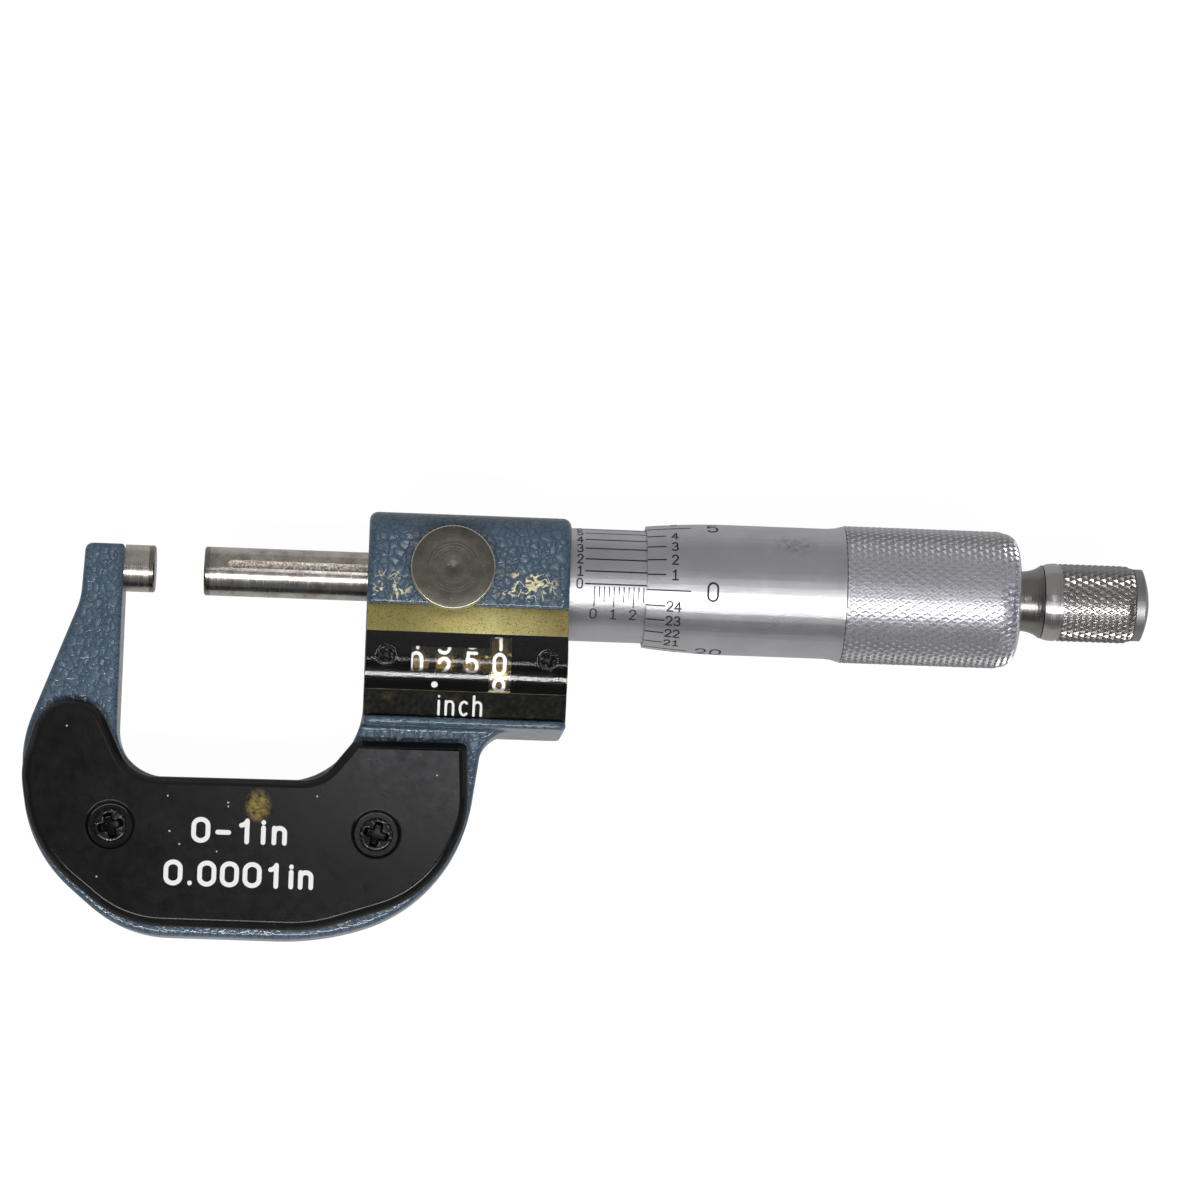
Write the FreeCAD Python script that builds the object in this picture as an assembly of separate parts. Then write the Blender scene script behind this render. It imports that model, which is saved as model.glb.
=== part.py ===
"""Outside micrometer, 0 to 1 inch, with a geared counter in its head.

X runs along the spindle, away from the anvil. Y points up the frame's arms. Z points out of the
front plate. The origin is the middle of the anvil's measuring face. The instrument lies on the
flat back of its head, with a quarter of an inch between the measuring faces.
"""

import FreeCAD, Part
import math
import os

# Measuring screw
inch = 25.4
reading_at_rest = 0.2502 * inch
running_clearance = 0.03
seat_clearance = 0.05

# A cutting tool runs this far past a face
cut_past = 1.0

# Anvil and spindle
anvil_diameter = 6.1
anvil_stub_diameter = 3.6
anvil_stub_length = 4.2
carbide_length = 0.75
face_chamfer = 0.2
spindle_diameter = 6.35
thread_diameter = 7.2
thread_chamfer = 0.5
thread_start = 62.6
thread_end = 101.0
tail_diameter = 5.9
tail_length = 8.0
keyway_width = 1.1
keyway_depth = 0.6
keyway_start = 9.4
keyway_end = 57.0
keyway_angle = 13.0

# Bow of the frame
bow_thickness = 9.0
bow_edge_radius = 0.8
arm_top = 2.7
arm_left = -8.9
arm_inner = -3.9
arm_corner_radius = 1.0
arm_waist_x = -9.23
arm_waist_y = -4.6
arm_waist_radius = 9.0
bow_left = -15.98
bow_bottom = -47.53
bow_right = 43.16
throat_bottom = -27.2
throat_left_radius = 6.5
throat_right_radius = 10.0
armpit_radius = 4.2
bow_in_head = 6.0

# Corners of the bow, in from its left, bottom and right, and their radii
arm_tip_radius = 0.4
shoulder_height = 24.46
shoulder_radius_share = 0.654
flank_inset = 1.07
flank_height_share = 0.434
flank_radius_share = 0.74
heel_inset = 13.83
heel_radius = 15.5
sole_inset = 20.13
sole_radius = 34.5
hip_inset = 2.87
hip_height = 5.88
hip_radius = 20.0

# Head of the frame
head_right = 53.5
head_top = 7.8
head_bottom = -19.8
head_front = 9.0
head_back = -9.6
head_top_radius = 3.2
head_edge_radius = 1.1
head_wall = 1.4
head_back_wall = 2.2

# Plates on the bow
plate_thickness = 2.2
plate_bevel = 0.9
plate_screw_left_x = -4.1
plate_screw_right_x = 29.8
plate_screw_y = -33.8
plate_screw_head_diameter = 4.3
plate_screw_head_height = 1.0
plate_screw_diameter = 2.4
plate_screw_length = 3.4
plate_counterbore_diameter = 6.0
plate_counterbore_floor = 0.8
plate_screw_edge_radius = 0.35
plate_screw_cross_length = 2.67
plate_screw_cross_width = 0.7
plate_screw_cross_depth = 0.7

# Corners of the plate, in from the bow's left, bottom and right, and their radii
plate_left_margin = 0.13
plate_bottom_margin = 1.08
plate_right_margin = 2.1
plate_shoulder_height = 19.65
plate_shoulder_radius = 10.0
plate_flank_inset = 1.65
plate_flank_height = 9.55
plate_flank_radius = 17.0
plate_heel_inset = 13.85
plate_heel_radius = 14.2
plate_sole_inset = 19.0
plate_sole_radius = 20.0
plate_hip_inset = 4.1
plate_hip_height = 4.95
plate_hip_radius = 15.0
plate_end_bulge = 0.5
plate_end_height = 14.95
plate_end_radius = 12.0
plate_right_to_head = 1.8
plate_right_corner_radius = 1.0
plate_left_to_head = 1.95
plate_left_corner_inset = 0.9
plate_left_corner_radius = 1.2
plate_throat_inset = 5.1
plate_throat_drop = 0.1
plate_throat_radius = 5.0
plate_arm_inset = 2.18
plate_lobe_height = 9.45
plate_lobe_right_margin = 2.5
plate_lobe_right_radius = 4.7
plate_lobe_left_margin = 2.4
plate_lobe_left_radius = 4.9

# Counter cover and window
cover_top = -4.35
cover_bottom = -18.7
cover_edge_z = 8.0
cover_ridge_z = 9.6
cover_thickness = 0.6
cover_side_gap = 0.1
cover_ridge_step = 0.01
cover_bay_depth = 3.0
window_half_height = 3.7
window_thickness = 0.78
window_clear_left_inset = 5.7
window_clear_right_inset = 7.1
window_clear_half_height = 3.4
window_screw_inset = 2.7
window_screw_y_offset = 0.5
window_screw_head_diameter = 2.6
window_screw_head_height = 0.75
window_screw_diameter = 1.6
window_screw_length = 4.6
window_counterbore_depth = 0.4
window_screw_edge_radius = 0.2
window_screw_cross_length = 1.6
window_screw_cross_width = 0.4
window_screw_cross_depth = 0.4

# Counter wheels and gears
wheel_count = 4
last_wheel_inset = 8.78
wheel_pitch = 3.54
wheel_radius = 5.0
wheel_width = 2.1
wheel_axis_y = -11.7
wheel_axis_z = 4.7
wheel_shaft_diameter = 1.5
wheel_to_cover = 0.5
transfer_distance = 6.0
transfer_shaft_diameter = 1.2
transfer_disc_width = 0.65
ring_gear_width = 0.45
transfer_side_gap = 0.1
drive_teeth = 30
idler_teeth = 16
input_teeth = 12
pinion_teeth = 10
transfer_teeth = 30
small_teeth = 9
ring_teeth = 30
pressure_angle = 20.0
tooth_height = 0.95
tooth_depth = 1.25
drive_pocket_inset = 7.3
drive_gear_inset = 0.3
drive_gear_width = 1.4
drive_hub_diameter = 9.0
drive_key_root = 0.3
idler_shaft_diameter = 1.2
gear_side_clearance = 0.1
tooth_tip_clearance = 0.35
end_block_width = 2.95
wheel_to_block = 1.15
end_block_low_z = 1.0
end_block_high_z = 6.5
cavity_top = -5.2
cavity_bottom = -17.6
sleeve_to_block = 0.4

# Sleeve
sleeve_diameter = 14.7
sleeve_wall_share = 0.065
sleeve_end = 86.5
inner_sleeve_end = 96.0
flange_diameter = 12.0
flange_width = 3.9
guide_reach = 2.5
thread_relief = 0.1
nut_thread_start = 82.0
nut_slot_width = 0.7
nut_slot_start = 85.0
nut_slot_count = 3
nut_ring_wall = 0.85
nut_ring_start = 89.0
nut_ring_width = 4.5
nut_notch_width = 2.0
nut_notch_floor = 0.3

# Thimble
thimble_clearance = 0.15
thimble_edge_from_zero = 0.36
thimble_edge_wall = 0.4
thimble_bevel_rise = 0.6
thimble_bevel_length = 12.0
bevel_middle_along = 0.42
bevel_middle_up = 0.72
grip_rise = 0.45
grip_flare_length = 2.0
grip_end_drop = 0.2
knurl_start = 89.3
knurl_end = 109.6
thimble_end = 112.1
thimble_end_radius = 2.0
thimble_end_wall = 7.1
zero_tick_x = 56.7

# Ratchet
neck_start_diameter = 7.8
neck_end_diameter = 9.6
neck_length = 3.3
neck_steps = 8
ratchet_teeth = 24
ratchet_tooth_height = 0.4
ratchet_ring_diameter = 7.4
ratchet_tooth_margin = 0.4
ratchet_ring_height = 0.6
ratchet_shaft_diameter = 4.0
knob_diameter = 10.15
knob_length = 11.9
knob_gap = 0.15
knob_band_length = 1.9
knob_groove_depth = 0.15
knob_groove_width = 0.3
knob_cavity_diameter = 7.9
knob_cavity_depth = 6.2
knob_start_rounding = 0.3
knob_start_rounding_length = 1.4
knob_end_rounding = 0.4
knob_end_rounding_length = 1.4
rounding_steps = 5
clutch_length = 2.0
spring_wire = 0.5
spring_turns = 4
spring_to_cavity = 0.2
end_screw_diameter = 9.4
end_screw_height = 2.1
end_screw_dome_radius = 11.5
end_screw_slot_width = 0.9
end_screw_slot_depth = 0.7
end_screw_thread_diameter = 2.0
end_screw_thread_length = 4.0

# Spindle clamp
clamp_inset = 10.85
clamp_y = 0.3
clamp_knob_diameter = 11.0
clamp_knob_height = 2.5
clamp_knob_gap = 0.5
clamp_screw_diameter = 3.0
clamp_screw_end_z = 4.3
clamp_boss_diameter = 6.0
clamp_knob_chamfer = 0.25

# Places worked out from the sizes above
first_wheel_x = head_right - last_wheel_inset - (wheel_count - 1) * wheel_pitch
cavity_left = first_wheel_x - wheel_width / 2 - wheel_to_block - end_block_width - seat_clearance
cavity_right = head_right - head_wall
head_left = cavity_left - head_wall
cavity_back = head_back + head_back_wall
clamp_x = head_left + clamp_inset
window_clear_left = head_left + window_clear_left_inset
window_clear_right = head_right - window_clear_right_inset
drive_pocket_left = head_right - drive_pocket_inset
drive_gear_x = drive_pocket_left + drive_gear_inset
flange_left = head_right - flange_width
guide_end = head_right + guide_reach
inner_sleeve_diameter = sleeve_diameter * (1 - 2 * sleeve_wall_share)
clear_bore_diameter = thread_diameter + 2 * thread_relief
nut_ring_diameter = inner_sleeve_diameter + 2 * nut_ring_wall
thimble_bore_diameter = sleeve_diameter + 2 * thimble_clearance
thimble_edge_diameter = thimble_bore_diameter + 2 * thimble_edge_wall
thimble_diameter = thimble_edge_diameter + 2 * thimble_bevel_rise
knurl_diameter = thimble_diameter + 2 * grip_rise
bow_front = bow_thickness / 2
spindle_radius = spindle_diameter / 2
sleeve_radius = sleeve_diameter / 2
plate_front = bow_front + plate_thickness
window_inner_radius = wheel_radius + wheel_to_cover + cover_thickness
window_outer_radius = window_inner_radius + window_thickness
above_all = wheel_axis_z + window_outer_radius + window_screw_head_height + cut_past
thimble_edge = zero_tick_x + reading_at_rest + thimble_edge_from_zero
thimble_wall_inner = thimble_end - thimble_end_wall
neck_end = thimble_end + neck_length
knob_start = neck_end + knob_gap
knob_end = knob_start + knob_length
spindle_tail_end = thread_end + tail_length
transfer_axis_z = wheel_axis_z - transfer_distance
pinion_width = transfer_disc_width + 2 * transfer_side_gap
block_top = -flange_diameter / 2 - sleeve_to_block

os.makedirs("parts", exist_ok=True)
X_AXIS = FreeCAD.Vector(1, 0, 0)
Z_AXIS = FreeCAD.Vector(0, 0, 1)
ORIGIN = FreeCAD.Vector(0, 0, 0)


def vector(x, y, z):
    return FreeCAD.Vector(x, y, z)


def save(name, shape):
    """Writes one node's STEP file."""
    shape.exportStep("parts/" + name + ".step")


def cylinder_x(x_start, x_end, diameter, y=0.0, z=0.0):
    """A round bar along X."""
    return Part.makeCylinder(diameter / 2, x_end - x_start, vector(x_start, y, z), X_AXIS)


def cylinder_z(x, y, z_start, z_end, diameter):
    """A round bar along Z."""
    return Part.makeCylinder(diameter / 2, z_end - z_start, vector(x, y, z_start), Z_AXIS)


def block(x_start, x_end, y_start, y_end, z_start, z_end):
    """A rectangular block between two corners."""
    return Part.makeBox(
        x_end - x_start, y_end - y_start, z_end - z_start, vector(x_start, y_start, z_start)
    )


def turned(profile):
    """A turned piece from (x, radius) points; the profile closes along the X axis."""
    points = [vector(x, radius, 0) for x, radius in profile]
    wire = Part.makePolygon(points + [points[0]])
    return Part.Face(wire).revolve(ORIGIN, X_AXIS, 360)


def rounded_outline(corners, z):
    """A closed wire through corners (x, y, radius), each rounded by its own arc."""
    count = len(corners)
    arcs = []
    for i, (x, y, radius) in enumerate(corners):
        here = vector(x, y, z)
        before = vector(*corners[i - 1][:2], z) - here
        after = vector(*corners[(i + 1) % count][:2], z) - here
        half_angle = before.getAngle(after) / 2
        if radius == 0:
            arcs.append((here, here, here))
            continue
        reach = radius / math.tan(half_angle)
        start = here + before.normalize() * reach
        end = here + after.normalize() * reach
        bisector = (before + after).normalize()
        middle = here + bisector * (radius / math.sin(half_angle) - radius)
        arcs.append((start, middle, end))
    edges = []
    for i, (start, middle, end) in enumerate(arcs):
        if start != end:
            edges.append(Part.Arc(start, middle, end).toShape())
        next_start = arcs[(i + 1) % count][0]
        if (next_start - end).Length > 1e-6:
            edges.append(Part.LineSegment(end, next_start).toShape())
    return Part.Wire(edges)


def prism_z(corners, z_start, z_end):
    """A plate of the rounded outline between two heights."""
    face = Part.Face(rounded_outline(corners, z_start))
    return face.extrude(vector(0, 0, z_end - z_start))


def rim_edges(shape, z):
    """The edges of a shape that lie flat at height z."""
    return [e for e in shape.Edges if abs(e.BoundBox.ZMin - z) < 1e-6 and abs(e.BoundBox.ZMax - z) < 1e-6]


def gear(teeth, module, x_start, x_end, y, z, phase, backlash=0.1):
    """A spur gear along X with involute flanks. The phase is one tooth's angle from Y towards Z."""
    pitch_radius = teeth * module / 2
    pressure_at_pitch = math.radians(pressure_angle)
    base_radius = pitch_radius * math.cos(pressure_at_pitch)
    tip_radius = pitch_radius + tooth_height * module
    root_radius = pitch_radius - tooth_depth * module
    half_tooth = math.pi / 2 / teeth * (1 - backlash)
    involute_at_pitch = math.tan(pressure_at_pitch) - pressure_at_pitch

    def half_angle(radius):
        """Half a tooth's angle at a radius; below the base circle the flank runs straight in."""
        ratio = min(1.0, base_radius / radius)
        pressure = math.acos(ratio)
        return half_tooth + involute_at_pitch - (math.tan(pressure) - pressure)

    flank_start = max(base_radius, root_radius)
    root_half = half_angle(flank_start)
    flank = [(root_radius, root_half), (pitch_radius, half_tooth), (tip_radius, half_angle(tip_radius))]
    points = []
    for k in range(teeth):
        middle = phase + 2 * math.pi * k / teeth
        for radius, half in flank:
            points.append((radius, middle - half))
        for radius, half in reversed(flank):
            points.append((radius, middle + half))
    ring = [vector(x_start, y + r * math.cos(a), z + r * math.sin(a)) for r, a in points]
    face = Part.Face(Part.makePolygon(ring + [ring[0]]))
    return face.extrude(vector(x_end - x_start, 0, 0))


def meshing_phase(phase, teeth, next_teeth, direction):
    """The phase of a gear that meshes with another one, which lies in the given direction."""
    return direction + math.pi + math.pi / next_teeth + (direction - phase) * teeth / next_teeth


def join(shapes):
    """One solid from overlapping or touching ones."""
    whole = shapes[0]
    for shape in shapes[1:]:
        whole = whole.fuse(shape)
    return whole.removeSplitter()


def cover_profile(drop, x_start, x_end):
    """The solid under the cover's surface, lowered by drop from its outer skin."""
    middle_y = wheel_axis_y
    radius = window_inner_radius - drop
    rise = math.sqrt(radius**2 - window_half_height**2)
    foot = 0.0
    edge = cover_edge_z - drop
    ridge = cover_ridge_z - drop
    left = vector(x_start, middle_y + window_half_height, wheel_axis_z + rise)
    right = vector(x_start, middle_y - window_half_height, wheel_axis_z + rise)
    crown = vector(x_start, middle_y, wheel_axis_z + radius)
    left_ridge = vector(x_start, left.y + cover_ridge_step, ridge)
    right_ridge = vector(x_start, right.y - cover_ridge_step, ridge)
    top_edge = vector(x_start, cover_top, edge)
    bottom_edge = vector(x_start, cover_bottom, edge)
    outline = [
        Part.LineSegment(vector(x_start, cover_top, foot), top_edge),
        Part.LineSegment(top_edge, left_ridge),
        Part.LineSegment(left_ridge, left),
        Part.Arc(left, crown, right),
        Part.LineSegment(right, right_ridge),
        Part.LineSegment(right_ridge, bottom_edge),
        Part.LineSegment(bottom_edge, vector(x_start, cover_bottom, foot)),
        Part.LineSegment(vector(x_start, cover_bottom, foot), vector(x_start, cover_top, foot)),
    ]
    wire = Part.Wire([line.toShape() for line in outline])
    return Part.Face(wire).extrude(vector(x_end - x_start, 0, 0))


# Gear train: places, modules and phases
train_length = math.hypot(wheel_axis_y, wheel_axis_z)
train_angle = math.atan2(wheel_axis_z, wheel_axis_y)
train_module = 2 * train_length / (drive_teeth + 2 * idler_teeth + input_teeth)
idler_distance = train_module * (drive_teeth + idler_teeth) / 2
idler_y = idler_distance * math.cos(train_angle)
idler_z = idler_distance * math.sin(train_angle)
disc_module = 2 * transfer_distance / (pinion_teeth + transfer_teeth)
ring_module = 2 * transfer_distance / (small_teeth + ring_teeth)
down = -math.pi / 2
up = math.pi / 2
drive_phase = math.radians(90 - keyway_angle)
idler_phase = meshing_phase(drive_phase, drive_teeth, idler_teeth, train_angle)
input_phase = meshing_phase(idler_phase, idler_teeth, input_teeth, train_angle)


def bow_outline():
    """The bow seen from the front, with its upper right end inside the head."""
    waist = (arm_waist_x, arm_waist_y, arm_waist_radius)
    shoulder_radius = shoulder_radius_share * shoulder_height
    shoulder = (bow_left, bow_bottom + shoulder_height, shoulder_radius)
    flank_y = bow_bottom + flank_height_share * shoulder_height
    flank = (bow_left + flank_inset, flank_y, flank_radius_share * shoulder_height)
    heel = (bow_left + heel_inset, bow_bottom, heel_radius)
    sole = (bow_right - sole_inset, bow_bottom, sole_radius)
    hip = (bow_right - hip_inset, bow_bottom + hip_height, hip_radius)
    inside_head = head_bottom + bow_in_head
    beside_armpit = bow_right + armpit_radius + cut_past
    return [
        (arm_inner, arm_top, arm_tip_radius),
        (arm_left, arm_top, arm_corner_radius),
        waist,
        shoulder,
        flank,
        heel,
        sole,
        hip,
        (bow_right, head_bottom, armpit_radius),
        (beside_armpit, head_bottom, 0),
        (beside_armpit, inside_head, 0),
        (head_left, inside_head, 0),
        (head_left, throat_bottom, throat_right_radius),
        (arm_inner, throat_bottom, throat_left_radius),
    ]


def build_bow():
    """The cast bow, with its outer and inner edges rounded on both faces."""
    bow = prism_z(bow_outline(), -bow_front, bow_front)
    rims = rim_edges(bow, bow_front) + rim_edges(bow, -bow_front)
    return bow.makeFillet(bow_edge_radius, rims)


def build_head():
    """The head's block with its rounded top, before it is bored."""
    head = block(head_left, head_right, head_bottom, head_top, head_back, head_front)
    along_top = []
    others = []
    for edge in head.Edges:
        box = edge.BoundBox
        runs_x = box.XLength > head_edge_radius
        if runs_x and box.YMin > 0:
            along_top.append(edge)
        elif box.YMin > 0 or box.YMax < cover_bottom or box.ZLength > head_edge_radius:
            others.append(edge)
    head = head.makeFillet(head_top_radius, along_top)
    ends = [e for e in head.Edges if e.BoundBox.XLength < 1e-6 and e.BoundBox.YMax > cover_top]
    head = head.makeFillet(head_edge_radius, ends)
    return head


def plate_screw_places():
    return [(plate_screw_left_x, plate_screw_y), (plate_screw_right_x, plate_screw_y)]


def window_screw_places():
    y = wheel_axis_y + window_screw_y_offset
    return [(head_left + window_screw_inset, y), (head_right - window_screw_inset, y)]


def build_frame():
    """Bow and head in one casting, bored for the spindle, counter, clamp, anvil and screws."""
    head = build_head()
    bay_floor = cover_edge_z - cover_bay_depth
    bay = block(head_left - cut_past, head_right + cut_past, cover_bottom, cover_top, bay_floor, above_all)
    head = head.cut(bay)
    head = head.fuse(cover_profile(cover_thickness, head_left, head_right))
    casting = head.fuse(build_bow())
    casting = casting.cut(
        block(cavity_left, cavity_right, cavity_bottom, cavity_top, cavity_back, above_all)
    )
    bore = spindle_diameter + 2 * running_clearance
    casting = casting.cut(cylinder_x(head_left - cut_past, drive_pocket_left, bore))
    casting = casting.cut(cylinder_x(drive_pocket_left, head_right + cut_past, flange_diameter))
    idler_room = train_module * (idler_teeth + 2) + 2 * tooth_tip_clearance
    casting = casting.cut(cylinder_x(drive_pocket_left, flange_left, idler_room, idler_y, idler_z))
    clamp_bore = clamp_screw_diameter + 2 * running_clearance
    casting = casting.cut(cylinder_z(clamp_x, clamp_y, 0, head_front + cut_past, clamp_bore))
    stub_end = arm_inner - anvil_stub_length
    casting = casting.cut(cylinder_x(stub_end, arm_inner + cut_past, anvil_stub_diameter))
    for x, y in plate_screw_places():
        for side in (1, -1):
            hole = cylinder_z(x, y, 0, bow_front + cut_past, plate_screw_diameter)
            if side < 0:
                hole = hole.mirror(ORIGIN, Z_AXIS)
            reach = plate_screw_length - plate_counterbore_floor + seat_clearance
            wide = plate_screw_diameter
            deep = bow_front - reach
            far = block(x - wide, x + wide, y - wide, y + wide, -deep, deep)
            casting = casting.cut(hole.cut(far))
    return casting.removeSplitter()


def plate_outline():
    """The insulating plate's edge: a round lobe on the arm, and a square end under the head."""
    left = bow_left + plate_left_margin
    bottom = bow_bottom + plate_bottom_margin
    right = bow_right - plate_right_margin
    lobe_top = throat_bottom + plate_lobe_height
    end_left = head_left - plate_left_corner_inset
    throat_right = head_left - plate_throat_inset
    throat_left = arm_inner + plate_arm_inset
    return [
        (left, bottom + plate_shoulder_height, plate_shoulder_radius),
        (left + plate_flank_inset, bottom + plate_flank_height, plate_flank_radius),
        (left + plate_heel_inset, bottom, plate_heel_radius),
        (right - plate_sole_inset, bottom, plate_sole_radius),
        (right - plate_hip_inset, bottom + plate_hip_height, plate_hip_radius),
        (right + plate_end_bulge, bottom + plate_end_height, plate_end_radius),
        (right, head_bottom - plate_right_to_head, plate_right_corner_radius),
        (end_left, head_bottom - plate_left_to_head, plate_left_corner_radius),
        (throat_right, throat_bottom + plate_throat_drop, plate_throat_radius),
        (throat_left, throat_bottom - plate_throat_drop, plate_throat_radius),
        (arm_inner - plate_lobe_right_margin, lobe_top, plate_lobe_right_radius),
        (left + plate_lobe_left_margin, lobe_top, plate_lobe_left_radius),
    ]


def build_front_plate():
    """Black plate with a bevelled edge and a counterbore for each screw."""
    plate = prism_z(plate_outline(), bow_front, plate_front)
    plate = plate.makeChamfer(plate_bevel, rim_edges(plate, plate_front))
    floor = bow_front + plate_counterbore_floor
    for x, y in plate_screw_places():
        plate = plate.cut(cylinder_z(x, y, floor, plate_front + cut_past, plate_counterbore_diameter))
        plate = plate.cut(cylinder_z(x, y, bow_front - cut_past, floor, plate_screw_diameter))
    return plate


def cross_recess(x, y, top, length, width, depth):
    """The crossed slots of a screw's head."""
    arm = length / 2
    half = width / 2
    floor = top - depth
    along = block(x - arm, x + arm, y - half, y + half, floor, top + cut_past)
    across = block(x - half, x + half, y - arm, y + arm, floor, top + cut_past)
    return along.fuse(across)


def build_front_plate_screws():
    """Two pan-head screws, seated on the floors of the counterbores."""
    floor = bow_front + plate_counterbore_floor
    screws = []
    for x, y in plate_screw_places():
        top = floor + plate_screw_head_height
        head = cylinder_z(x, y, floor, top, plate_screw_head_diameter)
        head = head.makeFillet(plate_screw_edge_radius, rim_edges(head, top))
        recess = cross_recess(
            x, y, top, plate_screw_cross_length, plate_screw_cross_width, plate_screw_cross_depth
        )
        shank = cylinder_z(x, y, floor - plate_screw_length, floor, plate_screw_diameter)
        screws.append(join([head.cut(recess), shank]))
    return Part.makeCompound(screws)


def mirrored_to_back(shape):
    """The same piece on the other face of the bow."""
    return shape.mirror(ORIGIN, Z_AXIS)


def build_anvil():
    """Steel anvil with its stub in the arm and its round front part before the carbide tip."""
    stub = cylinder_x(arm_inner - anvil_stub_length, arm_inner, anvil_stub_diameter)
    return join([stub, cylinder_x(arm_inner, -carbide_length, anvil_diameter)])


def build_anvil_tip():
    radius = anvil_diameter / 2
    return turned(
        [
            (-carbide_length, 0),
            (-carbide_length, radius),
            (-face_chamfer, radius),
            (0, radius - face_chamfer),
            (0, 0),
        ]
    )


def build_spindle():
    """Ground spindle with its keyway, thread zone and the tail that carries the thimble."""
    start = reading_at_rest + carbide_length
    body = turned(
        [
            (start, 0),
            (start, spindle_radius),
            (thread_start, spindle_radius),
            (thread_start + thread_chamfer, thread_diameter / 2),
            (thread_end, thread_diameter / 2),
            (thread_end, tail_diameter / 2),
            (spindle_tail_end, tail_diameter / 2),
            (spindle_tail_end, 0),
        ]
    )
    half = keyway_width / 2
    floor = spindle_radius - keyway_depth
    top = spindle_radius + cut_past
    groove = block(keyway_start + half, keyway_end, -half, half, floor, top)
    rounded_end = cylinder_z(keyway_start + half, 0, floor, top, keyway_width)
    groove = groove.fuse(rounded_end)
    groove.rotate(ORIGIN, X_AXIS, -keyway_angle)
    return body.cut(groove)


def build_spindle_tip():
    face = reading_at_rest
    return turned(
        [
            (face, 0),
            (face, spindle_radius - face_chamfer),
            (face + face_chamfer, spindle_radius),
            (face + carbide_length, spindle_radius),
            (face + carbide_length, 0),
        ]
    )


def build_inner_sleeve():
    """Guide and nut in one piece: a flange in the head, a long barrel and a slotted, threaded end."""
    body = join(
        [
            cylinder_x(flange_left, head_right, flange_diameter),
            cylinder_x(head_right, inner_sleeve_end, inner_sleeve_diameter),
        ]
    )
    guide_bore = spindle_diameter + 2 * running_clearance
    body = body.cut(cylinder_x(flange_left - cut_past, guide_end, guide_bore))
    body = body.cut(cylinder_x(guide_end, nut_thread_start, clear_bore_diameter))
    nut_bore = thread_diameter + 2 * running_clearance
    body = body.cut(cylinder_x(nut_thread_start, inner_sleeve_end + cut_past, nut_bore))
    for k in range(nut_slot_count):
        slot_end = inner_sleeve_end + cut_past
        half = nut_slot_width / 2
        slot = block(nut_slot_start, slot_end, -half, half, 0, sleeve_radius)
        slot.rotate(ORIGIN, X_AXIS, 60 + 360 * k / nut_slot_count)
        body = body.cut(slot)
    return body


def build_adjusting_nut():
    """Ring that closes the slotted nut on the thread, with two flats for a spanner."""
    ring_end = nut_ring_start + nut_ring_width
    ring = cylinder_x(nut_ring_start, ring_end, nut_ring_diameter)
    ring = ring.cut(cylinder_x(nut_ring_start - cut_past, ring_end + cut_past, inner_sleeve_diameter))
    floor = inner_sleeve_diameter / 2 + nut_notch_floor
    middle = nut_ring_start + nut_ring_width / 2
    half = nut_notch_width / 2
    for side in (0, 180):
        notch = block(middle, ring_end + cut_past, -half, half, floor, nut_ring_diameter)
        notch.rotate(ORIGIN, X_AXIS, side)
        ring = ring.cut(notch)
    return ring


def build_outer_sleeve():
    tube = cylinder_x(head_right, sleeve_end, sleeve_diameter)
    return tube.cut(cylinder_x(head_right - cut_past, sleeve_end + cut_past, inner_sleeve_diameter))


def build_thimble():
    """Turned thimble: bevelled edge, smooth barrel, raised grip band and a thick end wall."""
    bore = thimble_bore_diameter / 2
    edge = thimble_edge_diameter / 2
    barrel = thimble_diameter / 2
    grip = knurl_diameter / 2
    bevel_end = thimble_edge + thimble_bevel_length
    outline = [vector(thimble_edge, bore, 0), vector(thimble_edge, edge, 0)]
    edges = [Part.LineSegment(*outline).toShape()]
    bevel_middle = vector(
        thimble_edge + bevel_middle_along * thimble_bevel_length,
        edge + bevel_middle_up * (barrel - edge),
        0,
    )
    edges.append(Part.Arc(outline[1], bevel_middle, vector(bevel_end, barrel, 0)).toShape())
    corner = thimble_end - thimble_end_radius
    rounding = thimble_end_radius * (1 - math.sqrt(0.5))
    round_top = grip - grip_end_drop
    rest = [
        vector(bevel_end, barrel, 0),
        vector(knurl_start - grip_flare_length, barrel, 0),
        vector(knurl_start, grip, 0),
        vector(knurl_end, grip, 0),
        vector(corner, round_top, 0),
    ]
    for a, b in zip(rest, rest[1:]):
        edges.append(Part.LineSegment(a, b).toShape())
    round_start = rest[-1]
    round_end = vector(thimble_end, round_top - thimble_end_radius, 0)
    round_middle = vector(thimble_end - rounding, round_top - rounding, 0)
    edges.append(Part.Arc(round_start, round_middle, round_end).toShape())
    inside = [
        round_end,
        vector(thimble_end, tail_diameter / 2, 0),
        vector(thimble_wall_inner, tail_diameter / 2, 0),
        vector(thimble_wall_inner, bore, 0),
        vector(thimble_edge, bore, 0),
    ]
    for a, b in zip(inside, inside[1:]):
        edges.append(Part.LineSegment(a, b).toShape())
    return Part.Face(Part.Wire(edges)).revolve(ORIGIN, X_AXIS, 360)


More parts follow.
